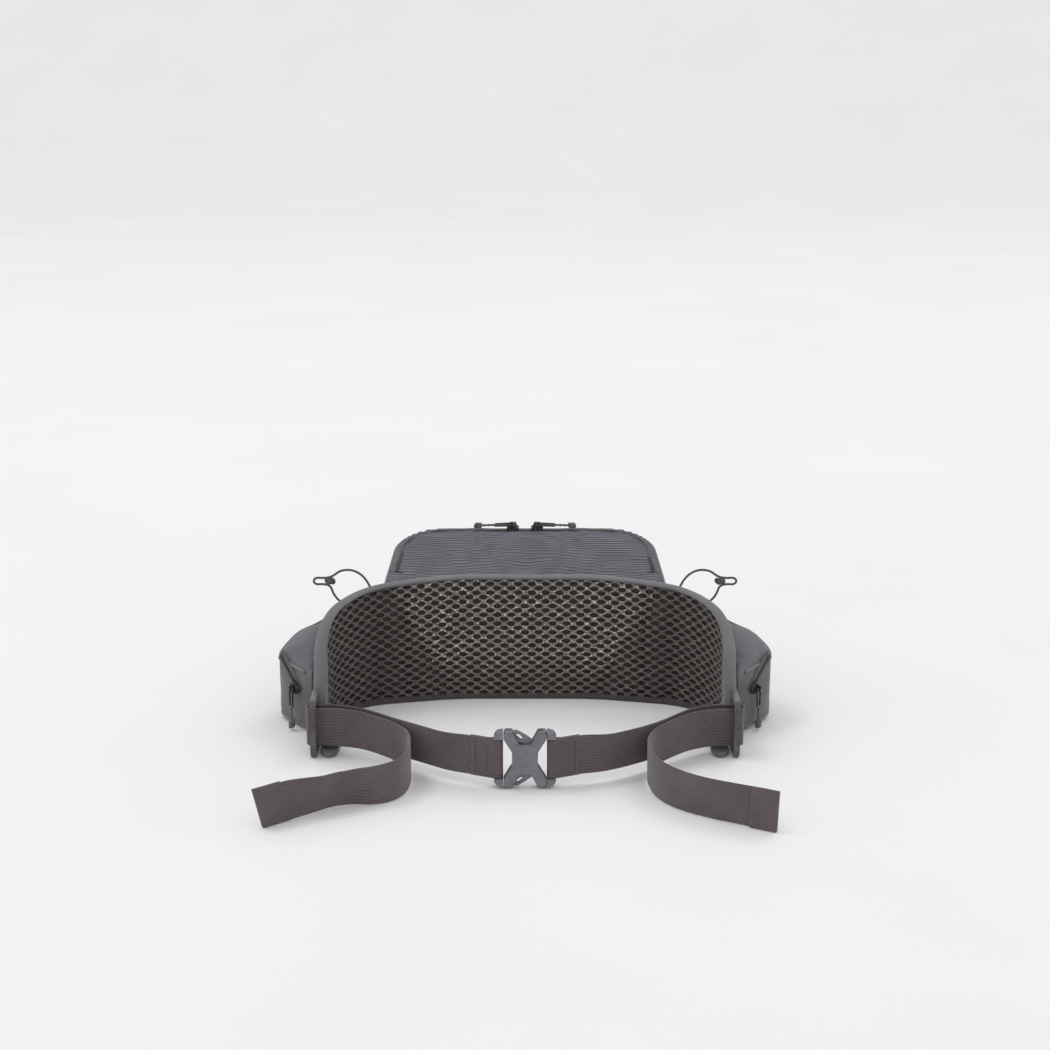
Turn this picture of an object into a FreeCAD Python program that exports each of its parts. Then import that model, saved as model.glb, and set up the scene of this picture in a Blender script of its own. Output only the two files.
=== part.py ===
"""Waist pack: a curved back panel with two padded wings, a zipped main compartment, two zipped
wing pockets, a webbing belt with ladder locks and a side-release buckle.

Millimetres. +X is the wearer's right, +Y points away from the wearer, +Z is up, and the origin is
on the ground under the middle of the pack. The belt is closed and its two free tails curl back.
"""
import FreeCAD, Part
import math
import os
from FreeCAD import Placement, Rotation, Vector

DIMENSIONS = [
    # back panel and wings
    ("panel_back", 93, "wearer face of the panel at its middle, from the origin"),
    ("panel_flat_half", 60, "half width of the flat middle of the panel"),
    ("wing_corner_half", 169, "half width at the corner where a wing turns forward"),
    ("wing_corner_y", 67, "place of that corner along Y"),
    ("wing_corner_round", 65, "radius of that corner"),
    ("wing_front_half", 165, "half width at the front end of the wings"),
    ("wing_front_y", -13, "place of the front end of the wings"),
    ("panel_height", 111, "top of the panel"),
    ("wing_shoulder_height", "=0.847 * panel_height", "top edge of the wing a third of the way forward"),
    ("wing_waist_height", "=0.631 * panel_height", "top edge of the wing two thirds of the way forward"),
    ("wing_front_height", "=0.315 * panel_height", "top edge of the wing at its front end"),
    ("mesh_thick", 4, "spacer mesh"),
    ("foam_thick", 4, "foam behind the mesh"),
    ("binding_width", 6, "rolled binding along the top and front edges"),
    ("binding_proud", 1, "how far the binding stands out from the mesh"),
    ("hem_height", 4, "binding along the bottom edge"),
    ("crease_half", 100, "half width of the middle foam pad"),
    # main compartment
    ("main_half", 121, "half width of the main compartment at the panel"),
    ("main_outer_half", 113, "half width at its outer corners"),
    ("main_outer_y", 200, "outer face of the main compartment"),
    ("main_round", 48, "radius of its outer corners"),
    ("cloth_wall", 2.5, "lined fabric wall"),
    ("lid_front_height", "=panel_height - 5", "underside of the top panel where it meets the back panel"),
    ("lid_rise", 18.5, "rise of the top panel up to the zip"),
    ("lid_thick", 2.5, "ribbed top panel"),
    ("zip_inset", 8, "middle of the zip from the edge of the top panel"),
    # zips
    ("tape_width", 12, "zip tape"),
    ("tape_thick", 0.8, "zip tape"),
    ("coil_width", 4, "zip coil"),
    ("coil_height", 1.4, "zip coil above its tape"),
    ("running_gap", 0.4, "clearance between a slider and the coil"),
    ("slider_length", 11, "zip slider"),
    ("slider_width", 8, "zip slider"),
    ("slider_height", 4.4, "zip slider above the tape"),
    ("arch_height", 4.4, "bridge on the slider that holds the pull"),
    ("slider_spacing", 22, "distance between the two closed main sliders"),
    ("pull_length", 17, "wire loop of a zip pull"),
    ("pull_width", 6.4, "wire loop of a zip pull"),
    ("pull_wire", 1.5, "wire of a zip pull"),
    ("pull_droop", 2, "slope of a resting main pull, degrees"),
    ("thong_length", 11, "twisted cord on a zip pull"),
    ("thong_round", 1.1, "radius of that cord"),
    ("knot_length", 8, "knot on a pull or on an elastic loop"),
    ("knot_width", 5.6, "knot on a pull or on an elastic loop"),
    # wing pockets
    ("pocket_half", "=wing_corner_half + 43", "half of the overall width, over the wing pockets"),
    ("pocket_height", "=panel_height - 29", "top of a wing pocket at its rear corner"),
    ("pocket_zip_start", 33, "height of the lower end of a pocket zip"),
    ("pocket_zip_length", 40, "visible length of a pocket zip"),
    ("pocket_zip_climb", 41, "slope of a pocket zip, degrees"),
    # belt
    ("web_width", 32, "belt webbing"),
    ("web_thick", 1.6, "belt webbing"),
    ("belt_middle", "=buckle_half_height + 1.5", "height of the middle of the belt"),
    ("buckle_y", -111, "middle of the buckle along Y"),
    ("buckle_half_height", "=web_width / 2 + 6.4", "half height of the buckle"),
    ("buckle_half_width", 24.7, "half width of the closed buckle"),
    ("buckle_thick", 10, "thickness of the buckle"),
    ("plate_thick", 3, "front and back plates of the socket half"),
    ("prong_gap", 0.3, "clearance of a prong between the plates"),
    ("web_bar_round", 1.6, "radius of the bars that hold the webbing"),
    ("web_bar_x", 20.4, "place of those bars from the middle of the buckle"),
    ("sewn_length", 26, "doubled and stitched end of the webbing"),
    ("hem_length", 27, "folded hem of a free tail"),
    # ladder locks
    ("lock_x", "=wing_front_half + 5", "middle of a ladder lock from the centre plane"),
    ("lock_bar_y", "=wing_front_y - 6.5", "rear bar of a ladder lock, which is its hinge"),
    ("lock_length", 36, "ladder lock from its rear bar to its lip"),
    ("lock_height", "=web_width + 16", "ladder lock across the webbing"),
    ("lock_thick", 5, "ladder lock"),
    ("lock_slot", 6, "slots of a ladder lock"),
    ("slot_slack", 1.4, "slot length beyond the webbing's width"),
    ("loop_thick", 1.6, "webbing loop round the rear bar"),
    ("tab_thick", 4, "rounded tip of the wing under the lock"),
    # elastic loops
    ("elastic_round", 1, "radius of the elastic cord"),
]

BIG = 400
BELT_START_Y = 7      # how far behind the buckle's middle the stitched ends meet the belt
BELT_START_GAP = 0.8  # between a stitched end and the slanted end of the belt beside it
SIDES = {"right": 1, "left": -1}

doc = FreeCAD.newDocument("waist_pack")
sheet = doc.addObject("Spreadsheet::Sheet", "sizes")
for row, (alias, value, meaning) in enumerate(DIMENSIONS, start=1):
    sheet.set(f"A{row}", meaning)
    sheet.setAlias(f"B{row}", alias)
for row, (alias, value, meaning) in enumerate(DIMENSIONS, start=1):
    sheet.set(f"B{row}", str(value))
doc.recompute()


def size(alias):
    return float(sheet.get(alias))


# ---------------------------------------------------------------- outlines

def flat(points, side=1):
    """Plan points as vectors, mirrored to the left when side is -1."""
    return [Vector(side * x, y, 0) for x, y in points]


def left_of(direction):
    return Vector(-direction.y, direction.x, 0)


def mitre_offset(points, distance):
    """The corners of an open path moved sideways, to its left when distance is positive."""
    runs = [(after - before).normalize() for before, after in zip(points, points[1:])]
    moved = []
    for index, point in enumerate(points):
        normal_in = left_of(runs[max(index - 1, 0)])
        normal_out = left_of(runs[min(index, len(runs) - 1)])
        step = distance / (1 + normal_in.dot(normal_out))
        moved.append(point + (normal_in + normal_out) * step)
    return moved


def turn_at(before, corner, after):
    """Signed turn of a path at a corner, in radians, positive to the left."""
    run_in = corner - before
    run_out = after - corner
    turn = run_in.getAngle(run_out)
    return math.copysign(turn, run_in.x * run_out.y - run_in.y * run_out.x)


def largest_radii(points, share=0.45):
    """Corner radii of an open path, as large as the shorter run at each corner allows."""
    radii = [0]
    for before, corner, after in zip(points, points[1:], points[2:]):
        shorter = min((corner - before).Length, (after - corner).Length)
        half_turn = (corner - before).getAngle(after - corner) / 2
        radii.append(share * shorter / math.tan(half_turn))
    return radii + [0]


def rounded_loop(points, radii):
    """Lines and tangent arcs round a closed outline, with one radius for each corner."""
    starts, arcs, ends = [], [], []
    for index, (corner, radius) in enumerate(zip(points, radii)):
        to_before = (points[index - 1] - corner).normalize()
        to_after = (points[(index + 1) % len(points)] - corner).normalize()
        half = to_before.getAngle(to_after) / 2
        reach = radius / math.tan(half)
        inward = (to_before + to_after).normalize() if radius else Vector()
        start = corner + to_before * reach
        middle = corner + inward * (radius / math.sin(half) - radius)
        end = corner + to_after * reach
        starts.append(start)
        ends.append(end)
        arcs.append(Part.Arc(start, middle, end) if radius else None)
    loop = []
    for index, arc in enumerate(arcs):
        if arc:
            loop.append(arc)
        loop.append(Part.LineSegment(ends[index], starts[(index + 1) % len(points)]))
    return loop


def band_loop(path, radii, near, far):
    """The closed outline between two parallels of an open path, near and far to its left."""
    turns = [turn_at(*corner) for corner in zip(path, path[1:], path[2:])]
    signs = [0] + [math.copysign(1, turn) for turn in turns] + [0]

    def radii_at(distance):
        return [radius - distance * sign for radius, sign in zip(radii, signs)]

    points = mitre_offset(path, near) + mitre_offset(path, far)[::-1]
    return rounded_loop(points, radii_at(near) + radii_at(far)[::-1])


def inset_loop(points, radii, wall):
    """A closed outline, drawn anticlockwise, moved inward by a wall."""
    ring = [points[-1]] + points + [points[0]]
    inner = mitre_offset(ring, wall)[1:-1]
    return rounded_loop(inner, [max(radius - wall, 0) for radius in radii])


def rectangle(x_low, y_low, x_high, y_high):
    corners = [(x_low, y_low), (x_high, y_low), (x_high, y_high), (x_low, y_high)]
    return rounded_loop(flat(corners), [0] * 4)


# ---------------------------------------------------------------- features

def new_body(label, placement=Placement()):
    body = doc.addObject("PartDesign::Body", label)
    body.Label = label
    body.Placement = placement
    return body


def add_sketch(body, plane, loops, offset=Placement()):
    sketch = body.newObject("Sketcher::SketchObject", f"{body.Label}_sketch")
    support = [item for item in body.Origin.OriginFeatures if item.Role == plane][0]
    sketch.AttachmentSupport = [(support, "")]
    sketch.MapMode = "FlatFace"
    sketch.AttachmentOffset = offset
    for loop in loops:
        for piece in loop:
            sketch.addGeometry(piece, False)
    return sketch


def add_pad(body, loops, length, base=0.0, plane="XY_Plane", middle=False, turn=Rotation()):
    """A pad whose length is an expression of the sheet, from a height above its plane."""
    sketch = add_sketch(body, plane, loops, Placement(Vector(0, 0, base), turn))
    pad = body.newObject("PartDesign::Pad", f"{body.Label}_pad")
    pad.Profile = sketch
    pad.Midplane = middle
    pad.setExpression("Length", length)
    return pad


def add_cut(body, loops, plane="XY_Plane", offset=Placement(), upward=True, both=False):
    """A pocket through everything above its sketch, below it, or on both sides."""
    sketch = add_sketch(body, plane, loops, offset)
    pocket = body.newObject("PartDesign::Pocket", f"{body.Label}_cut")
    pocket.Profile = sketch
    pocket.Type = "ThroughAll"
    pocket.Midplane = both
    pocket.Reversed = upward and not both
    return pocket


def cut_beyond(body, point, normal, upward=True):
    """Removes what lies beyond a tilted plane, on its upper side or on its lower side."""
    tilt = Placement(point, Rotation(Vector(0, 0, 1), normal))
    return add_cut(body, [rectangle(-BIG, -BIG, BIG, BIG)], offset=tilt, upward=upward)


def frame_at(origin, x_axis, z_axis):
    """A placement from its origin, its X axis and its Z axis."""
    return Placement(origin, Rotation(x_axis, z_axis.cross(x_axis), z_axis, "ZXY"))


def circle(x, y, radius):
    return [Part.Circle(Vector(x, y, 0), Vector(0, 0, 1), radius)]


# ---------------------------------------------------------------- back panel

def panel_corners():
    """Plan of the wearer face of the panel, from the left wing's front end to the right one's."""
    half = [
        (size("panel_flat_half"), size("panel_back")),
        (size("wing_corner_half"), size("wing_corner_y")),
        (size("wing_front_half"), size("wing_front_y")),
    ]
    return flat(half[::-1], -1) + flat(half)


def panel_radii():
    flat_round = 3 * size("wing_corner_round")
    corner = size("wing_corner_round")
    return [0, corner, flat_round, flat_round, corner, 0]


def panel_depth():
    return size("mesh_thick") + size("foam_thick")


def panel_y_at(x_half):
    """Y of the wearer face on the slanted stretch between the flat middle and the corner."""
    slant = (size("panel_back") - size("wing_corner_y"))
    slant /= size("wing_corner_half") - size("panel_flat_half")
    return size("panel_back") - slant * (x_half - size("panel_flat_half"))


def top_edge():
    """Side view of the top edge, from the front end of a wing to the back panel: Y, then Z."""
    front = size("wing_front_y")
    back = size("panel_back")
    depth = back - front
    return flat([
        (front, -BIG),
        (front, size("wing_front_height")),
        (front + 0.23 * depth, size("wing_waist_height")),
        (front + 0.55 * depth, size("wing_shoulder_height")),
        (back - 4, size("panel_height")),
        (BIG, size("panel_height") + 0.1),
    ])


def above_edge(drop):
    """The outline of everything above the top edge, or above its parallel further down."""
    edge = mitre_offset(top_edge(), -drop)
    return rounded_loop(edge + flat([(BIG, BIG), (-BIG, BIG), (-BIG, -BIG)]), [0] * (len(edge) + 3))


def below_edge(drop):
    edge = mitre_offset(top_edge(), -drop)
    return rounded_loop(edge + flat([(BIG, -BIG)]), [0] * (len(edge) + 1))


def panel_layer(label, corners, radii, near, far, drop):
    """A layer of the curved panel between two depths, up to a parallel of the top edge."""
    body = new_body(label)
    hem = size("hem_height")
    loop = band_loop(corners, radii, near, far)
    add_pad(body, [loop], "sizes.panel_height - sizes.hem_height", base=hem)
    if drop is not None:
        add_cut(body, [above_edge(drop)], plane="YZ_Plane", both=True)
    return body


def make_panel():
    mesh = size("mesh_thick")
    depth = panel_depth()
    drop = size("binding_width")
    corners = panel_corners()
    radii = panel_radii()
    panel_layer("back_mesh", corners, radii, 0, mesh, drop)

    split = size("crease_half")
    middle = [Vector(-split, panel_y_at(split), 0)] + corners[2:4] + [Vector(split, panel_y_at(split), 0)]
    panel_layer("back_foam", middle, [0] + radii[2:4] + [0], mesh, depth, drop)
    for side_name, side in SIDES.items():
        inner = Vector(side * (split + 1), panel_y_at(split + 1), 0)
        ends = corners[4:] if side > 0 else corners[:2]
        wing = [inner] + ends if side > 0 else ends + [inner]
        panel_layer(f"wing_foam_{side_name}", wing, [0, radii[1], 0], mesh, depth, drop)

    proud = size("binding_proud")
    binding = panel_layer("edge_binding", corners, radii, -proud, depth, 0)
    add_cut(binding, [below_edge(drop)], plane="YZ_Plane", both=True)

    hem = new_body("bottom_binding")
    add_pad(hem, [band_loop(corners, radii, -proud, depth)], "sizes.hem_height")


def wearer_zone():
    """Plan of everything on the wearer's side of the back of the panel."""
    back = mitre_offset(panel_corners(), panel_depth())
    radii = [radius + panel_depth() if radius else 0 for radius in panel_radii()]
    closing = [Vector(back[-1].x, -BIG, 0), Vector(back[0].x, -BIG, 0)]
    return rounded_loop(back + closing, radii + [0, 0])


# ---------------------------------------------------------------- compartments

def lid_slope():
    run = size("main_outer_y") - size("panel_back") - panel_depth()
    return math.atan(size("lid_rise") / run)


def lid_normal():
    slope = lid_slope()
    return Vector(0, -math.sin(slope), math.cos(slope))


def lid_point(thickness):
    """A point of the plane at a height above the underside of the top panel."""
    front = Vector(0, size("panel_back") + panel_depth(), size("lid_front_height"))
    return front + lid_normal() * thickness


def main_outline():
    """Plan of the main compartment, anticlockwise, running into the back panel."""
    start = size("wing_corner_y") - 20
    points = flat([
        (-size("main_half"), start),
        (size("main_half"), start),
        (size("main_outer_half"), size("main_outer_y")),
        (-size("main_outer_half"), size("main_outer_y")),
    ])
    return points, [0, 0, size("main_round"), size("main_round")]


def make_main_compartment():
    points, radii = main_outline()
    shell = new_body("main_shell")
    add_pad(shell, [rounded_loop(points, radii)], "sizes.lid_front_height + 2 * sizes.lid_rise")
    floor = Placement(Vector(0, 0, size("cloth_wall")), Rotation())
    add_cut(shell, [inset_loop(points, radii, size("cloth_wall"))], offset=floor)
    add_cut(shell, [wearer_zone()], both=True)
    cut_beyond(shell, lid_point(0), lid_normal())

    lid = new_body("top_panel")
    add_pad(lid, [rounded_loop(points, radii)], "sizes.lid_front_height + 2 * sizes.lid_rise")
    add_cut(lid, [wearer_zone()], both=True)
    cut_beyond(lid, lid_point(size("lid_thick")), lid_normal())
    cut_beyond(lid, lid_point(0), lid_normal(), upward=False)


def lid_frame():
    """The surface of the top panel, with its Y axis running up the slope to the outer edge."""
    return frame_at(lid_point(size("lid_thick")), Vector(1, 0, 0), lid_normal())


def main_zip_path():
    """Middle of the main zip on the top panel's surface."""
    inset = size("zip_inset")
    front = lid_point(0).y
    along = (size("main_outer_y") - inset - front) / math.cos(lid_slope())
    half = [
        (size("main_half") - inset - 1, inset),
        (size("main_outer_half") - inset, along),
    ]
    return flat(half, -1) + flat(half[::-1])


def make_zip(label, placement, path, radii):
    """A zip laid along a path: its tape, and the coil on the middle of the tape."""
    half_tape = size("tape_width") / 2
    half_coil = size("coil_width") / 2
    tape = new_body(f"{label}_tape", placement)
    add_pad(tape, [band_loop(path, radii, -half_tape, half_tape)], "sizes.tape_thick")
    coil = new_body(f"{label}_coil", placement)
    coil_loop = band_loop(path, radii, -half_coil, half_coil)
    add_pad(coil, [coil_loop], "sizes.coil_height", base=size("tape_thick"))


def pocket_outline(side):
    """Plan of a wing pocket, anticlockwise, running into the wing."""
    outer = size("pocket_half")
    rear = size("wing_corner_y")
    inner = size("main_half") + 0.5
    points = [
        (inner, rear),
        (outer - 62, rear - 67),
        (outer - 40, rear - 67),
        (outer - 26, rear - 53),
        (outer, rear - 21),
        (outer - 14, rear + 7),
        (outer - 47, rear + 28),
        (inner, rear + 41),
    ]
    radii = [0, 0, 6, 6, 12, 24, 30, 0]
    if side < 0:
        return flat(points[::-1], -1), radii[::-1]
    return flat(points), radii


def roof_point(side, thickness=0):
    rear = Vector(side * (size("pocket_half") - 47), size("wing_corner_y") + 26, size("pocket_height"))
    return rear + roof_normal(side) * thickness


def roof_normal(side):
    return Vector(side * 0.2, -0.28, 1).normalize()


def make_pocket(side_name, side):
    points, radii = pocket_outline(side)
    wall = size("cloth_wall")
    shell = new_body(f"pocket_shell_{side_name}")
    add_pad(shell, [rounded_loop(points, radii)], "2 * sizes.pocket_height")
    add_cut(shell, [inset_loop(points, radii, wall)], offset=Placement(Vector(0, 0, wall), Rotation()))
    add_cut(shell, [wearer_zone()], both=True)
    cut_beyond(shell, roof_point(side, -wall), roof_normal(side))

    roof = new_body(f"pocket_top_{side_name}")
    add_pad(roof, [rounded_loop(points, radii)], "2 * sizes.pocket_height")
    add_cut(roof, [wearer_zone()], both=True)
    cut_beyond(roof, roof_point(side), roof_normal(side))
    cut_beyond(roof, roof_point(side, -wall), roof_normal(side), upward=False)


def pocket_zip_frame(side):
    """The slanted zip on the nose of a pocket: origin at its lower end, X up along the zip."""
    nose_low = Vector(size("pocket_half") - 26, size("wing_corner_y") - 53, 0)
    nose_high = Vector(size("pocket_half"), size("wing_corner_y") - 21, 0)
    across = (nose_high - nose_low).normalize()
    outward = Vector(across.y, -across.x, 0)
    climb = math.radians(size("pocket_zip_climb"))
    along = across * math.cos(climb) + Vector(0, 0, math.sin(climb))
    origin = nose_low + across + Vector(0, 0, size("pocket_zip_start"))
    mirror = Vector(side, 1, 1)
    return frame_at(scaled(origin, mirror), scaled(along, mirror), scaled(outward, mirror))


def scaled(vector, factors):
    return Vector(vector.x * factors.x, vector.y * factors.y, vector.z * factors.z)


# ---------------------------------------------------------------- zip sliders and pulls

def slider_frame(zip_frame, along, across=0.0, flip=False):
    """The place of a slider on its zip, level with the top of the tape."""
    turn = Rotation(Vector(0, 0, 1), 180 if flip else 0)
    return zip_frame.multiply(Placement(Vector(along, across, size("tape_thick")), turn))


def make_slider(label, placement, arch_turn=0):
    """A slider with a tunnel for the coil and a pierced arch for the pull."""
    half_length = size("slider_length") / 2
    half_width = size("slider_width") / 2
    gap = size("running_gap")
    top = size("slider_height")
    tunnel = size("coil_width") / 2 + gap
    body = new_body(label, placement)
    corners = [
        (-half_length, -half_width * 0.7), (0, -half_width), (half_length, -half_width * 0.7),
        (half_length, half_width * 0.7), (0, half_width), (-half_length, half_width * 0.7),
    ]
    outline = rounded_loop(flat(corners), [1.5] * len(corners))
    add_pad(body, [outline], "sizes.slider_height - sizes.running_gap", base=gap)
    channel = rectangle(-tunnel, -1, tunnel, size("coil_height") + gap)
    add_cut(body, [channel], plane="YZ_Plane", both=True)

    arch = size("arch_height")
    arch_base = top - 0.5
    arch_corners = [(-arch, arch_base), (arch, arch_base), (arch * 0.6, top + arch), (-arch * 0.6, top + arch)]
    hole = circle(0, top + arch / 2, pin_reach() + gap / 2)
    add_pad(body, [rounded_loop(flat(arch_corners), [0, 0, 1, 1]), hole],
            "sizes.pull_wire * 1.6", plane="XZ_Plane", middle=True, turn=Rotation(Vector(0, 1, 0), arch_turn))


def pin_reach():
    """Radius that the square pin of a pull sweeps in the arch."""
    return size("pull_wire") / math.sqrt(2)


def pin_frame(placement, reach=Vector(1, 0, 0)):
    """The pivot of a pull in its slider, with X along the pull and Y along the pivot."""
    height = size("slider_height") + size("arch_height") / 2
    pivot = placement.multVec(Vector(0, 0, height))
    pin_axis = placement.Rotation.multVec(Vector(0, 1, 0))
    return frame_at(pivot, reach, reach.cross(pin_axis))


def make_pull(label, frame):
    """A wire loop through the slider's arch, with a cord and a knot at its far end."""
    wire = size("pull_wire")
    length = size("pull_length")
    half = size("pull_width") / 2
    outer = [(-wire / 2, -half), (length, -half * 0.8), (length, half * 0.8), (-wire / 2, half)]
    gap = half * 0.8 - wire
    inner = [(wire / 2, wire - half), (length - wire, -gap), (length - wire, gap), (wire / 2, half - wire)]
    bends = [0.3, 0.8 * gap, 0.8 * gap, 0.3]
    lift = Placement(Vector(0, 0, -wire / 2), Rotation())
    tab = new_body(f"{label}_tab", frame.multiply(lift))
    loops = [rounded_loop(flat(outer), [0.6, 2, 2, 0.6]), rounded_loop(flat(inner), bends)]
    add_pad(tab, loops, "sizes.pull_wire")

    along = Rotation(Vector(0, 1, 0), 90)
    cord = doc.addObject("Part::Cylinder", f"{label}_cord")
    cord.Label = f"{label}_cord"
    cord.setExpression("Radius", "sizes.thong_round")
    cord.setExpression("Height", "sizes.thong_length")
    cord.Placement = frame.multiply(Placement(Vector(length, 0, 0), along))

    knot = doc.addObject("Part::Ellipsoid", f"{label}_knot")
    knot.Label = f"{label}_knot"
    knot.setExpression("Radius1", "sizes.knot_length / 2")
    knot.setExpression("Radius2", "sizes.knot_width / 2")
    knot.setExpression("Radius3", "sizes.knot_width / 2")
    knot_x = length + size("thong_length") + size("knot_length") / 2 - 0.4
    knot.Placement = frame.multiply(Placement(Vector(knot_x, 0, 0), along))


def make_main_zip():
    frame = lid_frame()
    path = main_zip_path()
    corner = size("main_round") - size("zip_inset")
    make_zip("main_zip", frame, path, [0, corner, corner, 0])
    for side_name, side in SIDES.items():
        place = slider_frame(frame, side * size("slider_spacing") / 2, path[1].y, flip=side < 0)
        make_slider(f"main_slider_{side_name}", place)
        droop = math.radians(size("pull_droop"))
        reach = place.Rotation.multVec(Vector(math.cos(droop), 0, -math.sin(droop)))
        make_pull(f"main_pull_{side_name}", pin_frame(place, reach))


def make_pocket_zip(side_name, side):
    frame = pocket_zip_frame(side)
    path = flat([(0, 0), (size("pocket_zip_length"), 0)])
    make_zip(f"pocket_zip_{side_name}", frame, path, [0, 0])
    place = slider_frame(frame, size("slider_length") / 2 + 0.5)
    level_pin = side * (90 - size("pocket_zip_climb"))
    make_slider(f"pocket_slider_{side_name}", place, level_pin)
    make_pull(f"pocket_pull_{side_name}", pin_frame(hanging(place), Vector(0, 0, -1)))


def hanging(place):
    """A slider's place turned so that its pivot is level and its pull hangs straight down."""
    outward = place.Rotation.multVec(Vector(0, 0, 1))
    return frame_at(place.Base, Vector(0, 0, -1), outward)


# ---------------------------------------------------------------- buckle

def upright(x, y, z):
    """A frame whose plan faces the front: local X stays X, local Y is up, local Z is -Y."""
    return Placement(Vector(x, y, z), Rotation(Vector(1, 0, 0), 90))


def socket_loop():
    """The X-shaped plate of the socket half, with a notch above and below for the thumb pads."""
    top = size("buckle_half_height")
    arm = [(4.5, top - 10.5), (10, top), (16, top), (16.6, top - 5.5), (10, 6)]
    rounds = [1.5, 2, 2, 1, 3]
    right = arm + [(x, -y) for x, y in arm[::-1]]
    left = [(-x, -y) for x, y in right]
    return rounded_loop(flat(right + left), (rounds + rounds[::-1]) * 2)


def lug_loops(side):
    """The two lugs that hold the webbing bar, above and below the webbing."""
    top = size("buckle_half_height")
    inner = size("web_width") / 2 + 0.4
    outer = size("buckle_half_width")
    loops = []
    for level in (1, -1):
        corners = [(16.9, inner), (outer, inner), (outer - 2.6, top - 1.4), (16.9, top)]
        corners = [(side * x, level * y) for x, y in corners]
        loops.append(rounded_loop(flat(corners), [0, 1, 3, 0]))
    return loops


def add_web_bar(body, side):
    """The round bar between the lugs."""
    x = side * size("web_bar_x")
    sketch_loops = [circle(x, 0, size("web_bar_round"))]
    return add_pad(body, sketch_loops, "sizes.web_width + 1.6", plane="XZ_Plane", middle=True)


def make_buckle():
    frame = upright(0, size("buckle_y"), size("belt_middle"))
    half = size("buckle_thick") / 2
    plate = size("plate_thick")

    for label, base in (("buckle_front_plate", half - plate), ("buckle_back_plate", -half)):
        add_pad(new_body(label, frame), [socket_loop()], "sizes.plate_thick", base=base)
    between = "sizes.buckle_thick - 2 * sizes.plate_thick"

    socket = new_body("buckle_socket", frame)
    inner = size("web_width") / 2 + 0.4
    outer = size("buckle_half_height") - 0.5
    for lug in lug_loops(1):
        add_pad(socket, [lug], "sizes.buckle_thick", middle=True)
    add_web_bar(socket, 1)
    for level in (1, -1):
        bridge = rectangle(13, min(level * inner, level * outer), 17.5, max(level * inner, level * outer))
        add_pad(socket, [bridge], between, middle=True)

    plug = new_body("buckle_plug", frame)
    for lug in lug_loops(-1):
        add_pad(plug, [lug], "sizes.buckle_thick", middle=True)
    add_web_bar(plug, -1)

    for name, level in (("upper", 1), ("lower", -1)):
        make_prong(name, level, frame)


def make_prong(name, level, frame):
    """A spring arm of the plug with its thumb pad and eye-shaped hole, between the plates."""
    top = size("buckle_half_height")
    corners = [
        (-16.5, top - 0.8), (-6, top), (0, top - 3.5), (6, top - 8),
        (3, top - 11), (-4, top - 9.5), (-12, top - 5.4), (-16.5, top - 5),
    ]
    eye = [(-8.6, top - 2.6), (-4.6, top - 2.6), (-0.6, top - 6.6), (-3.4, top - 7.2)]
    place = [Vector(x, level * y, 0) for x, y in corners]
    hole = [Vector(x, level * y, 0) for x, y in eye]
    prong = new_body(f"buckle_prong_{name}", frame)
    loops = [rounded_loop(place, [0.8, 2, 4, 1, 1, 3, 3, 0.8]), rounded_loop(hole, [0.9] * 4)]
    thickness = "sizes.buckle_thick - 2 * sizes.plate_thick - 2 * sizes.prong_gap"
    add_pad(prong, loops, thickness, middle=True)


# ---------------------------------------------------------------- belt

def belt_bottom():
    return size("belt_middle") - size("web_width") / 2


def webbing(label, path):
    """Webbing on its edge along a plan path, as wide as it is tall."""
    half = size("web_thick") / 2
    body = new_body(label, Placement(Vector(0, 0, belt_bottom()), Rotation()))
    add_pad(body, [band_loop(path, largest_radii(path), -half, half)], "sizes.web_width")
    return body


def lock_slot_y(number):
    """Middle of a ladder lock's slot: 0 holds the loop, 1 the belt and 2 the free tail."""
    first = size("lock_bar_y") - 5
    pitch = size("lock_slot") + 4
    return first - (0, pitch - 1, 2 * pitch - 1)[number]


def widened(points):
    """Bends of a strap that were drawn for locks 170 mm from the centre plane."""
    return [(x * size("lock_x") / 170, y) for x, y in points]


def belt_path(side):
    """From the stitched end at the buckle to the back of the lock's middle bar."""
    start = size("web_bar_x") + size("sewn_length") - 4 + BELT_START_GAP
    outside = size("lock_x") + 6
    slot = lock_slot_y(1)
    bar = (slot + lock_slot_y(2)) / 2
    bends = {
        1: [(60, -100), (76, -91), (95, -77.5), (113, -61), (134, -42.5)],
        -1: [(60, -97), (77, -83.5), (93, -71), (115, -53.5), (134, -40.5)],
    }
    points = [(start, size("buckle_y") + BELT_START_Y)] + widened(bends[side])
    points += [(outside - 26, slot - 0.8), (outside - 13, slot), (outside, slot), (outside, bar)]
    return flat(points, side)


def tail_path(side):
    """From the back of the lock's middle bar to the hem at the free end of the tail."""
    outside = size("lock_x") + 6
    slot = lock_slot_y(2)
    bar = (slot + lock_slot_y(1)) / 2
    bends = {
        1: [(134, -52), (117, -66), (104, -78), (97, -91), (95, -108), (100, -134),
            (114, -156), (137, -173), (160, -185), (184, -198)],
        -1: [(134, -49), (115, -61), (101, -72), (92, -83), (89, -98), (90, -120),
             (99, -140), (114, -148), (131, -146), (146, -151), (161, -165), (192, -191)],
    }
    points = [(outside, bar), (outside, slot), (outside - 13, slot), (outside - 26, slot - 0.8)]
    return flat(points + widened(bends[side]), side)


def make_hem(side_name, path):
    """The free end of a tail, folded over once and stitched: a second layer beside it."""
    end, before = path[-1], path[-2]
    back = (before - end).normalize()
    thick = size("web_thick")
    length = min(size("hem_length"), 0.5 * (before - end).Length)
    shift = left_of(back) * (thick + 0.05)
    frame = frame_at(end + shift + Vector(0, 0, belt_bottom()), back, Vector(0, 0, 1))
    hem = new_body(f"tail_hem_{side_name}", frame)
    add_pad(hem, [rectangle(0, -thick / 2, length, thick / 2)], "sizes.web_width")


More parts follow.
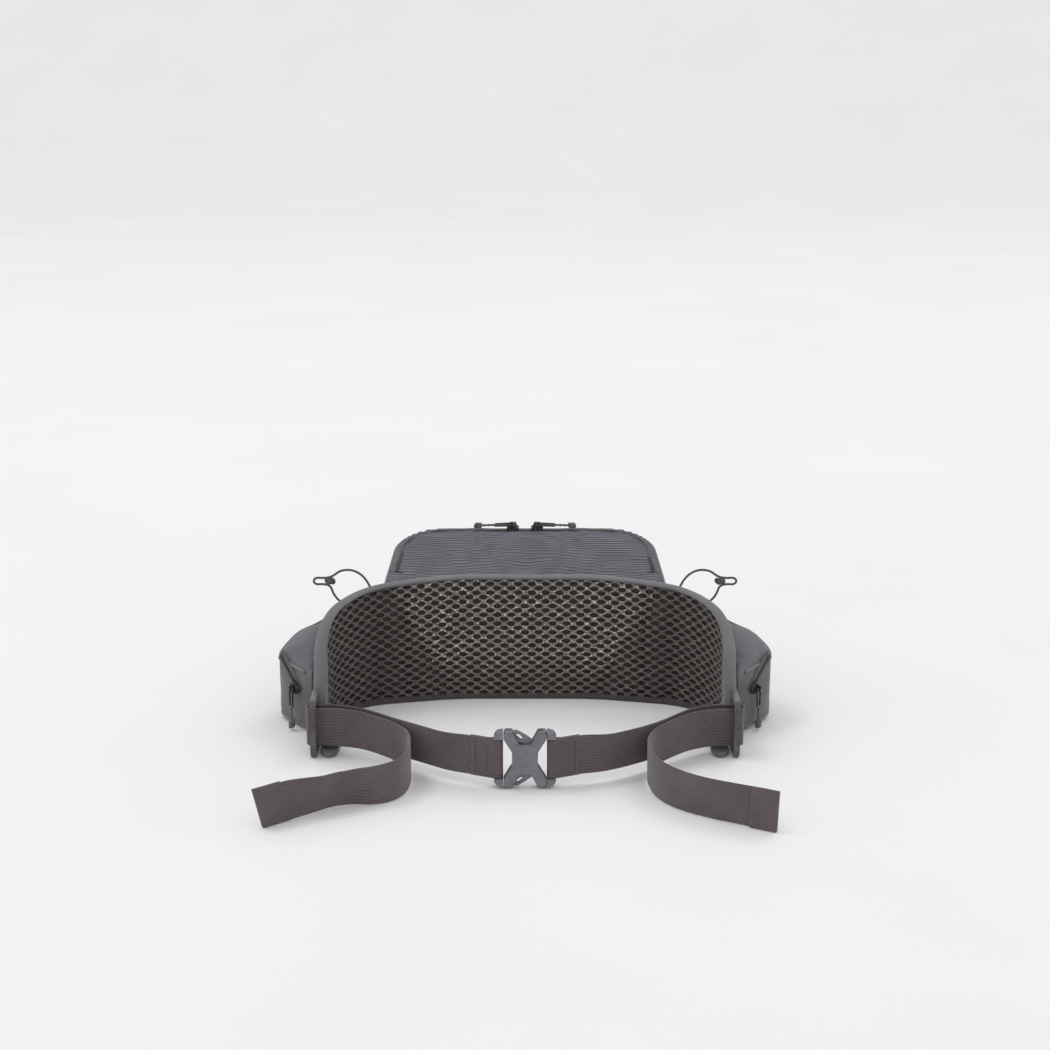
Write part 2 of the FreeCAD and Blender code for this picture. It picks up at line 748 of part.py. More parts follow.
def make_sewn_end(side_name, side):
    """The webbing doubled round the buckle's bar and stitched: a sleeve with a flat tail."""
    bar = size("web_bar_x")
    hole = size("web_bar_round") + 0.35
    sleeve = hole + size("web_thick")
    thick = size("web_thick") * 1.1
    end = bar + size("sewn_length") - 4
    half = [(bar + 8, thick), (bar + 1.5, sleeve), (bar - sleeve, sleeve)]
    drift = BELT_START_Y
    mirrored = [(x, -y) for x, y in half[::-1]]
    corners = [(end, drift + thick)] + half + mirrored + [(end, drift - thick)]
    corners = [(side * x, y) for x, y in corners]
    radii = [0, 6, 3, sleeve * 0.9, sleeve * 0.9, 3, 6, 0]
    body = new_body(f"sewn_end_{side_name}", Placement(Vector(0, size("buckle_y"), belt_bottom()), Rotation()))
    loop = rounded_loop(flat(corners), radii)
    add_pad(body, [loop, circle(side * bar, 0, hole)], "sizes.web_width")


def make_belt():
    for side_name, side in SIDES.items():
        make_sewn_end(side_name, side)
        webbing(f"belt_webbing_{side_name}", belt_path(side))
        tail = tail_path(side)
        webbing(f"belt_tail_{side_name}", tail)
        make_hem(side_name, tail)


# ---------------------------------------------------------------- ladder locks

def lock_frame(side):
    """Local X runs forward from the hinge bar, local Y is up and local Z is across the lock."""
    hinge = Vector(side * size("lock_x"), size("lock_bar_y"), size("belt_middle"))
    return frame_at(hinge, Vector(0, -1, 0), Vector(-1, 0, 0))


def make_lock(side_name, side):
    """A plate with three slots and a wide lip, whose rear bar is the hinge."""
    half_height = size("lock_height") / 2
    half_slot = (size("web_width") + size("slot_slack")) / 2
    length = size("lock_length")
    bar = 4
    slot = size("lock_slot")
    outline = [(-bar / 2, -half_height), (length - 4, -half_height), (length - 1, 0),
               (length - 4, half_height), (-bar / 2, half_height)]
    loops = [rounded_loop(flat(outline), [2, 6, 30, 6, 2])]
    for number in range(3):
        middle = size("lock_bar_y") - lock_slot_y(number)
        low, high = middle - slot / 2, middle + slot / 2
        corners = flat([(low, -half_slot), (high, -half_slot), (high, half_slot), (low, half_slot)])
        loops.append(rounded_loop(corners, [1] * 4))
    lock = new_body(f"ladder_lock_{side_name}", lock_frame(side))
    add_pad(lock, loops, "sizes.lock_thick", middle=True)
    around_bar = rectangle(-bar, -half_slot, bar / 2 + 0.01, half_slot)
    for level in (1, -1):
        offset = Placement(Vector(0, 0, level * bar / 2), Rotation())
        add_cut(lock, [around_bar], offset=offset, upward=level > 0)


def make_lock_loop(side_name, side):
    """The webbing loop sewn into the wing's front end, round the lock's rear bar."""
    hole = 3.2
    ring = hole + size("loop_thick")
    wing_gap = size("wing_front_y") - size("lock_bar_y")
    place = Placement(Vector(side * size("lock_x"), size("lock_bar_y"), belt_bottom() + 0.5), Rotation())
    loop = new_body(f"lock_loop_{side_name}", place)
    stem = [(-ring, 0), (-ring, -ring), (ring, -ring), (ring, 0), (2.5, wing_gap), (-2.5, wing_gap)]
    outline = rounded_loop(flat(stem), [0, ring * 0.98, ring * 0.98, 0, 0, 0])
    add_pad(loop, [outline, circle(0, 0, hole)], "sizes.web_width - 1")


def make_wing_tab(side_name, side):
    """The rounded tip of the wing, lying on the ground beside the ladder lock."""
    outer = size("lock_x") - size("lock_thick") / 2 - 2
    rear = size("wing_front_y") - 1.5
    front = rear - 36
    corners = [(outer - 15, front), (outer, front), (outer, rear), (outer - 15, rear)]
    radii = [7.4, 7.4, 0, 0]
    if side < 0:
        corners, radii = corners[::-1], radii[::-1]
    tab = new_body(f"wing_tab_{side_name}")
    add_pad(tab, [rounded_loop(flat(corners, side), radii)], "sizes.tab_thick")


# ---------------------------------------------------------------- elastic cord loops

# Route of the elastic cord on the right: out from behind the wing, through the knot, round the
# small loop beyond it, back through the knot and down behind the wing again.
ELASTIC_ROUTE = [
    (131, 88, 97), (136, 91, 109), (147, 93, 117), (159, 93, 117), (167, 93, 110.5),
    (175, 93, 109.6), (181, 92.9, 110), (184.2, 92.8, 108.4), (184.2, 92.6, 105.6), (181, 92.5, 104.2),
    (175, 92.4, 104.6), (168, 91.6, 103.5), (162, 89, 97), (156, 85.5, 92), (149, 81.5, 87),
]
ELASTIC_KNOT = Vector(168.5, 92.6, 107)
ELASTIC_ANCHORS = [Vector(131, 88, 94), Vector(149, 81.5, 87)]


def tube_along(points, radius):
    """A tube along straight runs and the largest tangent arcs that they allow."""
    edges = []
    radii = largest_radii(points)
    start = points[0]
    for before, corner, after, bend in zip(points, points[1:], points[2:], radii[1:]):
        to_before = (before - corner).normalize()
        to_after = (after - corner).normalize()
        half = to_before.getAngle(to_after) / 2
        reach = bend / math.tan(half)
        middle = corner + (to_before + to_after).normalize() * (bend / math.sin(half) - bend)
        arc_start = corner + to_before * reach
        arc_end = corner + to_after * reach
        edges.append(Part.LineSegment(start, arc_start).toShape())
        edges.append(Part.Arc(arc_start, middle, arc_end).toShape())
        start = arc_end
    edges.append(Part.LineSegment(start, points[-1]).toShape())
    spine = Part.Wire(edges)
    expected = math.pi * radius ** 2 * spine.Length
    profile = Part.Wire(Part.makeCircle(radius, points[0], points[1] - points[0]))
    tube = Part.Wire(spine).makePipeShell([profile], True, False)
    print("cord radii:", [round(bend, 1) for bend in radii[1:-1]], "length:", round(spine.Length, 1),
          "volume against section x length:", round(tube.Volume / expected, 3))
    return tube


def add_shape(label, shape, placement=Placement()):
    item = doc.addObject("Part::Feature", label)
    item.Label = label
    item.Shape = shape
    item.Placement = placement
    return item


def make_elastic(side_name, side):
    mirror = Vector(side, 1, 1)
    shift = Vector(size("wing_corner_half") - 169, size("wing_corner_y") - 67, size("panel_height") - 111)
    route = [scaled(Vector(*point) + shift, mirror) for point in ELASTIC_ROUTE]
    add_shape(f"elastic_cord_{side_name}", tube_along(route, size("elastic_round")))

    knot = doc.addObject("Part::Ellipsoid", f"elastic_knot_{side_name}")
    knot.Label = f"elastic_knot_{side_name}"
    knot.setExpression("Radius1", "sizes.knot_length / 2 + 1")
    knot.setExpression("Radius2", "sizes.knot_width / 2")
    knot.setExpression("Radius3", "sizes.knot_width / 2")
    knot.Placement = Placement(scaled(ELASTIC_KNOT + shift, mirror), Rotation())

    blocks = []
    for anchor in ELASTIC_ANCHORS:
        corner = scaled(anchor + shift, mirror) - Vector(3, 4, 4)
        blocks.append(Part.makeBox(6, 6, 6, corner))
    add_shape(f"cord_anchors_{side_name}", Part.makeCompound(blocks))


# ---------------------------------------------------------------- whole pack

def build_pack():
    make_panel()
    make_main_compartment()
    make_main_zip()
    make_buckle()
    make_belt()
    for side_name, side in SIDES.items():
        make_pocket(side_name, side)
        make_pocket_zip(side_name, side)
        make_lock(side_name, side)
        make_lock_loop(side_name, side)
        make_wing_tab(side_name, side)
        make_elastic(side_name, side)


def check_document():
    for item in doc.Objects:
        if "Invalid" in item.State or "Error" in item.State:
            raise RuntimeError(f"{item.Label} failed: {item.State}")


def sub_parts():
    kinds = ("PartDesign::Body", "Part::Cylinder", "Part::Ellipsoid", "Part::Feature")
    return [item for item in doc.Objects if item.TypeId in kinds and not item.getParentGeoFeatureGroup()]


def write_parts():
    os.makedirs("parts", exist_ok=True)
    for item in sub_parts():
        shape = item.Shape
        if shape.isNull() or not shape.isValid() or not shape.Solids:
            raise RuntimeError(f"{item.Label} has no valid solid")
        shape.exportStep(os.path.join("parts", f"{item.Label}.step"))
    print(len(sub_parts()), "nodes written")


build_pack()
doc.recompute()
check_document()
write_parts()
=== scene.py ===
"""Waist pack, seen from the wearer's side. Metres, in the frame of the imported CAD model."""
import math

import bmesh
import bpy
from mathutils import Matrix, Vector, noise
from mathutils.bvhtree import BVHTree


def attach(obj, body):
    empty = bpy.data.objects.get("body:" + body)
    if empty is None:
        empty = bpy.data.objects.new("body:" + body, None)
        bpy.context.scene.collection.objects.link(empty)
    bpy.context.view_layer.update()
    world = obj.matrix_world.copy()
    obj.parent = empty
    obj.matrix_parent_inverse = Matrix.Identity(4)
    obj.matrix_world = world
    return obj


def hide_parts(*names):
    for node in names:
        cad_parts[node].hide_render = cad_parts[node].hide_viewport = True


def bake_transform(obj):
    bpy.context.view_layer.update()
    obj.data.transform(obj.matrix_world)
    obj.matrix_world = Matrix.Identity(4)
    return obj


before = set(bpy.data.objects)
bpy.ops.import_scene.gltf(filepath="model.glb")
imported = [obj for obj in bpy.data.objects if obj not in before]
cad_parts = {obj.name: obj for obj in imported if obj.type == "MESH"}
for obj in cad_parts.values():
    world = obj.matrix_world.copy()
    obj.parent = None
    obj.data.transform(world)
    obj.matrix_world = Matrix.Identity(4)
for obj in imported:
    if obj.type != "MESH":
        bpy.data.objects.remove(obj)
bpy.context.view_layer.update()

MM = 0.001
UP = Vector((0, 0, 1))
SIDES = {"right": 1, "left": -1}


# ---------------------------------------------------------------- camera, light and floor

camera = bpy.data.objects.new("camera", bpy.data.cameras.new("camera"))
camera.location = (0, -1.4898, 0.5619)
camera.rotation_euler = (math.radians(75.65), 0, 0)
camera.data.lens = 65.3
camera.data.sensor_width = 36
bpy.context.scene.collection.objects.link(camera)
bpy.context.scene.camera = camera

world = bpy.data.worlds.new("studio")
bpy.context.scene.world = world
world.use_nodes = True
background = world.node_tree.nodes["Background"]
background.inputs["Color"].default_value = (1.0, 1.0, 1.0, 1)
background.inputs["Strength"].default_value = 0.86
bpy.context.scene.view_settings.view_transform = "Standard"


def soft_light(name, place, target, size, power):
    lamp = bpy.data.lights.new(name, "AREA")
    lamp.shape = "RECTANGLE"
    lamp.size, lamp.size_y = size
    lamp.energy = power
    obj = bpy.data.objects.new(name, lamp)
    obj.location = place
    obj.rotation_euler = (Vector(target) - Vector(place)).to_track_quat("-Z", "Y").to_euler()
    bpy.context.scene.collection.objects.link(obj)


soft_light("key", (-3.0, 0.5, 6.0), (0, 0, 0.05), (2.2, 2.2), 62)
soft_light("rim", (2.5, 3.0, 5.0), (0, 0, 0.05), (2.0, 2.0), 30)


# ---------------------------------------------------------------- materials

class Shader:
    """A Principled material and short calls for the nodes that feed it."""

    def __init__(self, name, roughness=0.8, **constants):
        self.material = bpy.data.materials.new(name)
        self.material.use_nodes = True
        self.tree = self.material.node_tree
        self.surface = self.tree.nodes["Principled BSDF"]
        self.surface.inputs["Roughness"].default_value = roughness
        for socket, value in constants.items():
            self.surface.inputs[socket.replace("_", " ")].default_value = value
        self.coords = self.tree.nodes.new("ShaderNodeTexCoord")

    def node(self, kind, inputs=(), **settings):
        made = self.tree.nodes.new(kind)
        for key, value in settings.items():
            setattr(made, key, value)
        for key, value in dict(inputs).items():
            socket = made.inputs[key]
            if isinstance(value, bpy.types.NodeSocket):
                self.tree.links.new(value, socket)
            else:
                socket.default_value = value
        return made

    def noise(self, scale, detail=3.0, coords="Object"):
        inputs = {"Vector": self.coords.outputs[coords], "Scale": scale, "Detail": detail}
        return self.node("ShaderNodeTexNoise", inputs).outputs["Fac"]

    def bands(self, period, axis, coords="Object", distortion=0.0):
        """Waves of that period in metres along an axis, or DIAGONAL."""
        inputs = {"Vector": self.coords.outputs[coords], "Scale": 0.314 / period, "Distortion": distortion}
        return self.node("ShaderNodeTexWave", inputs, bands_direction=axis).outputs["Fac"]

    def maths(self, operation, first, second=0.5):
        made = self.node("ShaderNodeMath", operation=operation)
        for socket, value in zip(made.inputs, (first, second)):
            if isinstance(value, bpy.types.NodeSocket):
                self.tree.links.new(value, socket)
            else:
                socket.default_value = value
        return made.outputs[0]

    def total(self, *terms):
        """The sum of (weight, value) pairs."""
        result = self.maths("MULTIPLY", terms[0][1], terms[0][0])
        for weight, value in terms[1:]:
            result = self.maths("ADD", result, self.maths("MULTIPLY", value, weight))
        return result

    def colour(self, factor, *stops):
        """Colours at places of a ramp, each (place, colour)."""
        ramp = self.node("ShaderNodeValToRGB", {"Fac": factor})
        elements = ramp.color_ramp.elements
        while len(elements) < len(stops):
            elements.new(0.5)
        for element, (place, colour) in zip(elements, stops):
            element.position = place
            element.color = (*linear(colour), 1)
        self.tree.links.new(ramp.outputs["Color"], self.surface.inputs["Base Color"])

    def bump(self, height, distance, strength=1.0):
        made = self.node("ShaderNodeBump", {"Height": height, "Distance": distance, "Strength": strength})
        self.tree.links.new(made.outputs["Normal"], self.surface.inputs["Normal"])
        return self.material

    def rough(self, factor, low, high):
        spread = self.maths("ADD", self.maths("MULTIPLY", factor, high - low), low)
        self.tree.links.new(spread, self.surface.inputs["Roughness"])


def linear(colour):
    """Linear light of a display colour given as #rrggbb."""
    parts = [int(colour[place:place + 2], 16) / 255 for place in (1, 3, 5)]
    return [((part + 0.055) / 1.055) ** 2.4 if part > 0.04045 else part / 12.92 for part in parts]


def woven(name, low, middle, high, period=1.1 * MM, relief=0.25 * MM, sheen=0.25, coords="Object", roughness=0.85):
    """A plain weave: waves along all three axes cross on whichever way a surface faces."""
    shader = Shader(name, roughness, Sheen_Weight=sheen, Sheen_Roughness=0.5)
    if coords == "UV":
        threads = shader.total(*[(0.5, shader.bands(period, axis, coords, 0.4)) for axis in "XY"])
    else:
        normal = shader.node("ShaderNodeNewGeometry").outputs["Normal"]
        threads = shader.total(*[
            (0.5, shader.maths("MULTIPLY", shader.bands(period, axis, coords, 0.4),
                               shader.maths("SUBTRACT", 1.0, shader.maths("MULTIPLY", part, part))))
            for axis, part in zip("XYZ", shader.node("ShaderNodeSeparateXYZ", {"Vector": normal}).outputs)])
    shade = shader.total((0.35, threads), (0.4, shader.noise(55, 4)), (0.25, shader.noise(900, 2)))
    shader.colour(shade, (0.3, low), (0.5, middle), (0.7, high))
    shader.rough(shader.noise(120), roughness - 0.1, min(roughness + 0.1, 1))
    height = shader.total((0.7, threads), (0.5, shader.noise(1500, 2)))
    return shader.bump(height, relief)


def ribbed(name, low, middle, high, period, axis, coords="Object", relief=0.5 * MM):
    """A fabric with raised ribs one way and fine threads across them."""
    shader = Shader(name, 0.8, Sheen_Weight=0.3, Sheen_Roughness=0.45)
    ribs = shader.bands(period, axis, coords, 0.3)
    across = shader.bands(period * 0.45, "Y" if axis == "X" else "X", coords, 0.5)
    shade = shader.total((0.45, ribs), (0.3, shader.noise(40, 4)), (0.25, shader.noise(700, 2)))
    shader.colour(shade, (0.28, low), (0.5, middle), (0.72, high))
    height = shader.total((1.0, ribs), (0.2, across), (0.25, shader.noise(1400, 2)))
    return shader.bump(height, relief)


def moulded(name, low, high, roughness, grain=0.05 * MM, coat=0.0):
    """Moulded plastic with a fine grain and slight scuffs."""
    shader = Shader(name, roughness, Coat_Weight=coat, Coat_Roughness=0.15)
    scuffs = shader.noise(260, 6)
    shade = shader.total((0.5, shader.noise(35, 3)), (0.5, scuffs))
    shader.colour(shade, (0.35, low), (0.62, high))
    shader.rough(scuffs, roughness - 0.08, roughness + 0.14)
    height = shader.total((0.6, shader.noise(2600, 2)), (0.5, shader.noise(300, 3)))
    return shader.bump(height, grain)


def metal(name, low, high):
    shader = Shader(name, 0.35, Metallic=0.85)
    scuffs = shader.noise(500, 5)
    shader.colour(scuffs, (0.35, low), (0.65, high))
    shader.rough(scuffs, 0.28, 0.5)
    return shader.bump(shader.noise(900, 4), 0.03 * MM)


def mesh_yarn(name):
    """The yarn of the spacer mesh: deep brown-grey, with pale specks that are painted highlights, painted light over
    the middle pad and painted shade near the wing folds.
    """
    shader = Shader(name, 0.55, Sheen_Weight=0.25, Sheen_Roughness=0.4)
    painted_light = shader.node("ShaderNodeAttribute", attribute_name="painted_light").outputs["Fac"]
    # Painted highlights and shade: the fine noise and the palest ramp stops paint glinting specks; the vertex attribute
    # adds painted light on the middle pad and painted shade at the wing folds.
    shade = shader.total((0.9, shader.noise(600, 1)), (0.1, shader.noise(45, 3)), (0.35, painted_light))
    shader.colour(shade, (0.5, "#544c49"), (0.65, "#6e6663"), (0.78, "#7e7672"), (0.88, "#9a928c"), (0.97, "#f4efe9"))
    strands = shader.bands(0.5 * MM, "DIAGONAL", "Object", 2.0)
    return shader.bump(shader.total((0.6, strands), (0.5, shader.noise(1800, 2))), 0.25 * MM)


MATERIALS = {
    "spacer_mesh": mesh_yarn("spacer_mesh"),
    "foam": woven("foam", "#322c2a", "#463f3d", "#554e4b", 0.9 * MM),
    "binding": ribbed("binding", "#535356", "#707074", "#86868a", 0.8 * MM, "X", "UV", 0.25 * MM),
    "shell_fabric": woven("shell_fabric", "#4b494c", "#605d60", "#757276", 1.0 * MM),
    "pocket_top": woven("pocket_top", "#4c4b50", "#5f5e63", "#76757a", 0.9 * MM),
    "ribbed_fabric": ribbed("ribbed_fabric", "#47474d", "#62636b", "#7d7e88", 1.1 * MM, "Y", relief=0.2 * MM),
    "zip_tape": woven("zip_tape", "#3f3d3d", "#514e4e", "#65615f", 0.7 * MM, coords="UV"),
    "zip_coil": moulded("zip_coil", "#2f2d2c", "#4b4846", 0.4),
    "webbing": ribbed("webbing", "#42383b", "#574d50", "#6f6467", 1.3 * MM, "Y", "UV", 0.16 * MM),
    "stitching": woven("stitching", "#5c5457", "#746b6e", "#8d8487", 0.5 * MM),
    "buckle_plastic": moulded("buckle_plastic", "#66656a", "#77767b", 0.42),
    "lock_plastic": moulded("lock_plastic", "#3a3838", "#565353", 0.22, 0.03 * MM, 0.4),
    "slider_metal": metal("slider_metal", "#4a4746", "#7d7876"),
    "pull_cord": woven("pull_cord", "#4b4646", "#655f5e", "#7f7876", 0.6 * MM),
    "elastic": woven("elastic", "#393536", "#524d4e", "#6d6768", 0.6 * MM),
}


# ---------------------------------------------------------------- mesh building

def grid_object(name, rows, wrap_rows=False, wrap_columns=False, caps=False):
    """A mesh through rows of points, with a UV map in metres: U across the rows, V along each row."""
    count, width = len(rows), len(rows[0])
    mesh = bpy.data.meshes.new(name)
    build = bmesh.new()
    made = [[build.verts.new(point) for point in row] for row in rows]
    uv_layer = build.loops.layers.uv.new("UVMap")
    middle = width // 2
    across, along = [0.0], [0.0]
    for index in range(count):
        across.append(across[-1] + (rows[(index + 1) % count][middle] - rows[index][middle]).length)
    for index in range(width):
        first = rows[count // 2]
        along.append(along[-1] + (first[(index + 1) % width] - first[index]).length)
    for i in range(count if wrap_rows else count - 1):
        for j in range(width if wrap_columns else width - 1):
            corners = [(i, j), (i + 1, j), (i + 1, j + 1), (i, j + 1)]
            face = build.faces.new([made[a % count][b % width] for a, b in corners])
            face.smooth = True
            for loop, (a, b) in zip(face.loops, corners):
                loop[uv_layer].uv = (across[a], along[b])
    if caps:
        for row in (made[0][::-1], made[-1]):
            build.faces.new(row).smooth = False
    bmesh.ops.recalc_face_normals(build, faces=build.faces)
    build.to_mesh(mesh)
    build.free()
    return link_mesh(name, mesh)


def link_mesh(name, mesh):
    obj = bpy.data.objects.new(name, mesh)
    bpy.context.scene.collection.objects.link(obj)
    return obj


def settle(obj, body, material, nodes=()):
    """Gives a piece its material and slot, the CAD nodes it stands for, and the body it rides."""
    if not obj.data.materials:
        obj.data.materials.append(MATERIALS[material])
    if nodes:
        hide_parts(*nodes)
    if body:
        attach(obj, body)
    return obj


def apply_modifiers(obj):
    graph = bpy.context.evaluated_depsgraph_get()
    mesh = bpy.data.meshes.new_from_object(obj.evaluated_get(graph), preserve_all_data_layers=True, depsgraph=graph)
    obj.modifiers.clear()
    obj.data = mesh
    return obj


def rounded(points, radii, step, closed=False):
    """Points along a plan outline with rounded corners, about a step apart."""
    count = len(points)
    path = []
    for index in range(count):
        corner = Vector((*points[index], 0))
        if not closed and index in (0, count - 1) or not radii[index]:
            path.append([corner])
            continue
        before = Vector((*points[index - 1], 0)) - corner
        after = Vector((*points[(index + 1) % count], 0)) - corner
        half = before.angle(after) / 2
        reach = radii[index] / math.tan(half)
        middle = corner + (before.normalized() + after.normalized()).normalized() * (radii[index] / math.sin(half))
        start = corner + before.normalized() * reach - middle
        turn = math.pi - 2 * half
        sign = 1 if before.cross(after).z < 0 else -1
        pieces = max(2, round(radii[index] * turn / step))
        path.append([middle + Matrix.Rotation(sign * turn * k / pieces, 3, "Z") @ start for k in range(pieces + 1)])
    line = []
    for index in range(count):
        line += path[index]
        if index < count - 1 or closed:
            end = path[(index + 1) % count][0]
            run = end - line[-1]
            pieces = max(1, round(run.length / step))
            start = line[-1]
            line += [start + run * k / pieces for k in range(1, pieces)]
    return line


def smooth_path(points, step):
    """A clamped quadratic spline by its control points, divided about a step apart."""
    corners = [Vector(point) for point in points]
    middles = [(a + b) / 2 for a, b in zip(corners, corners[1:])]
    knots = [corners[0]] + middles[1:-1] + [corners[-1]]
    line = [corners[0]]
    for start, bend, end in zip(knots, corners[1:-1], knots[1:]):
        pieces = max(2, round((end - start).length / step))
        for k in range(1, pieces + 1):
            t = k / pieces
            line.append(start * (1 - t) ** 2 + bend * 2 * t * (1 - t) + end * t * t)
    return line


def tangents(line, closed=False):
    last = len(line) - 1
    result = []
    for index in range(len(line)):
        before = line[index - 1] if index or closed else line[0]
        after = line[(index + 1) % len(line)] if index < last or closed else line[last]
        result.append((after - before).normalized())
    return result


def sweep(name, line, profile, side_of=None, closed=False, caps=True):
    """A closed profile of (sideways, up) points carried along a line. side_of gives the sideways
    direction at an index and tangent; the default is level and to the left."""
    rows = []
    for index, (point, tangent) in enumerate(zip(line, tangents(line, closed))):
        side = side_of(index, tangent) if side_of else UP.cross(tangent).normalized()
        up = tangent.cross(side).normalized()
        shape = profile(index) if callable(profile) else profile
        rows.append([point + side * a + up * b for a, b in shape])
    return grid_object(name, rows, wrap_rows=closed, wrap_columns=True, caps=caps and not closed)


def ring(radius, count=8, squash=1.0):
    return [(radius * math.cos(math.tau * k / count), radius * squash * math.sin(math.tau * k / count))
            for k in range(count)]


def joined(name, objects):
    """One object from several meshes, with their UV maps."""
    build = bmesh.new()
    for obj in objects:
        build.from_mesh(obj.data)
    mesh = bpy.data.meshes.new(name)
    build.to_mesh(mesh)
    build.free()
    for obj in objects:
        bpy.data.objects.remove(obj)
    return link_mesh(name, mesh)


# ---------------------------------------------------------------- elastic cord loops

ELASTIC_ROUTE = [
    (131, 88, 97), (136, 91, 109), (147, 93, 117), (159, 93, 117), (167, 93, 110.5),
    (175, 93, 109.6), (179.5, 92.9, 110.2), (182.5, 92.8, 108.6), (182.5, 92.6, 105.6), (179.5, 92.5, 104),
    (175, 92.4, 104.6), (168, 91.6, 103.5), (165.5, 90, 96), (159.5, 86.5, 90), (149, 81.5, 87),
]


def knot_object(name, centre, axis, length, width):
    """A trefoil of cord drawn tight: the lump that an overhand knot makes."""
    cord = 0.3 * width
    turn = axis.to_track_quat("X", "Z").to_matrix()
    line = []
    for k in range(60):
        t = math.tau * k / 60
        knot = Vector((math.sin(t) + 2 * math.sin(2 * t), math.cos(t) - 2 * math.cos(2 * t), -math.sin(3 * t)))
        reach = Vector(((length / 2 - cord) / 2.6, (width / 2 - cord) / 2.6, (width / 2 - cord) / 1.0))
        line.append(centre + turn @ Vector((knot.x * reach.x, knot.y * reach.y, knot.z * reach.z)))
    return sweep(name, line, ring(cord, 8), closed=True, side_of=lambda index, tangent: tangent.cross(turn.col[2]).normalized())


def make_elastic(side_name, side):
    curve = bpy.data.curves.new(f"elastic_loop_{side_name}", "CURVE")
    curve.dimensions = "3D"
    curve.bevel_depth = 1 * MM
    curve.bevel_resolution = 4
    curve.resolution_u = 8
    curve.use_fill_caps = True
    spline = curve.splines.new("NURBS")
    spline.points.add(len(ELASTIC_ROUTE) - 1)
    for point, (x, y, z) in zip(spline.points, ELASTIC_ROUTE):
        point.co = (side * x * MM, y * MM, z * MM, 1)
    spline.order_u = 3
    spline.use_endpoint_u = True
    loop = link_mesh(curve.name, curve)
    knot = knot_object(f"elastic_knot_tied_{side_name}", Vector((side * 0.1685, 0.0926, 0.107)), Vector((1, 0, 0)), 0.0096, 0.0062)
    settle(loop, "pack", "elastic", [f"elastic_cord_{side_name}"])
    settle(knot, "pack", "elastic", [f"elastic_knot_{side_name}"])
    for number, (x, y, z) in enumerate([(131, 88, 94), (149, 81.5, 87)]):
        rows = []
        for k in range(9):
            height = (z - 4 + 0.75 * k) * MM
            swell = 1 + 0.12 * math.sin(math.pi * k / 8)
            rows.append([Vector((side * x * MM + a * swell, y * MM - 1 * MM + b * swell, height))
                         for a, b in ring(3 * MM, 12, 0.95)])
        tab = grid_object(f"elastic_stay_{number}_{side_name}", rows, wrap_columns=True, caps=True)
        settle(tab, "pack", "binding", [f"cord_anchors_{side_name}"])


for side_name, side in SIDES.items():
    make_elastic(side_name, side)


# ---------------------------------------------------------------- back panel

FACE = [(-165, -13), (-169, 67), (-60, 93), (60, 93), (169, 67), (165, -13)]
FACE_RADII = [0, 65, 195, 195, 65, 0]
TOP_EDGE = [(-14, 35), (11.4, 70), (45.3, 94), (89, 111), (94, 111)]
face_line = rounded([(x * MM, y * MM) for x, y in FACE], [radius * MM for radius in FACE_RADII], 1 * MM)
face_tangents = tangents(face_line)
face_reach = [0.0]
for before, after in zip(face_line, face_line[1:]):
    face_reach.append(face_reach[-1] + (after - before).length)
FACE_LENGTH = face_reach[-1]


def face_at(reach):
    """The point and the inward tangent and back normal of the wearer face, at a length along it."""
    reach = min(max(reach, 0), FACE_LENGTH)
    low = min(int(reach / FACE_LENGTH * (len(face_reach) - 1)), len(face_reach) - 2)
    while low and face_reach[low] > reach:
        low -= 1
    while low < len(face_reach) - 2 and face_reach[low + 1] < reach:
        low += 1
    t = (reach - face_reach[low]) / (face_reach[low + 1] - face_reach[low])
    point = face_line[low].lerp(face_line[low + 1], t)
    tangent = face_tangents[low].lerp(face_tangents[low + 1], t).normalized()
    return point, tangent, UP.cross(tangent).normalized()


def edge_height(y):
    """Height of the panel's top edge at a place along Y, with its corners eased."""
    def straight(at):
        for (y0, z0), (y1, z1) in zip(TOP_EDGE, TOP_EDGE[1:]):
            if at <= y1 * MM:
                return (z0 + (z1 - z0) * (at / MM - y0) / (y1 - y0)) * MM
        return TOP_EDGE[-1][1] * MM
    return sum(straight(y + shift * MM) for shift in (-6, -3, 0, 3, 6)) / 5


def eased(value, start, end):
    t = min(max((value - start) / (end - start), 0), 1)
    return t * t * (3 - 2 * t)


def valley(distance, width):
    return math.exp(-(distance / width) ** 2)


def crease_lines(x, z):
    """Distances from the slanted crease of the middle pad and from the upright fold of the wing."""
    lean = abs(x) - (0.058 + 0.056 * z / 0.1)
    fold = abs(x) - (0.124 + 0.004 * math.sin(z / 0.03))
    return lean, fold


def panel_depth(x, z):
    """How far the mesh lies behind the CAD face: quilted pads with creases between them."""
    lean, fold = crease_lines(x, z)
    creases = 2.4 * valley(lean, 0.0045) + 3.0 * valley(fold, 0.008) * (1 - 0.5 * z / 0.11)
    swell = 1.5 * math.sin(min(max(z / 0.1, 0), 1) * math.pi)
    ripple = 0.6 * noise.noise(Vector((x * 26, z * 34, 4.2)))
    return (0.7 + creases - swell + ripple) * MM


def panel_point(reach, z, depth):
    point, _, normal = face_at(reach)
    place = point + normal * (panel_depth(point.x, z) + depth)
    place.z = z
    return place


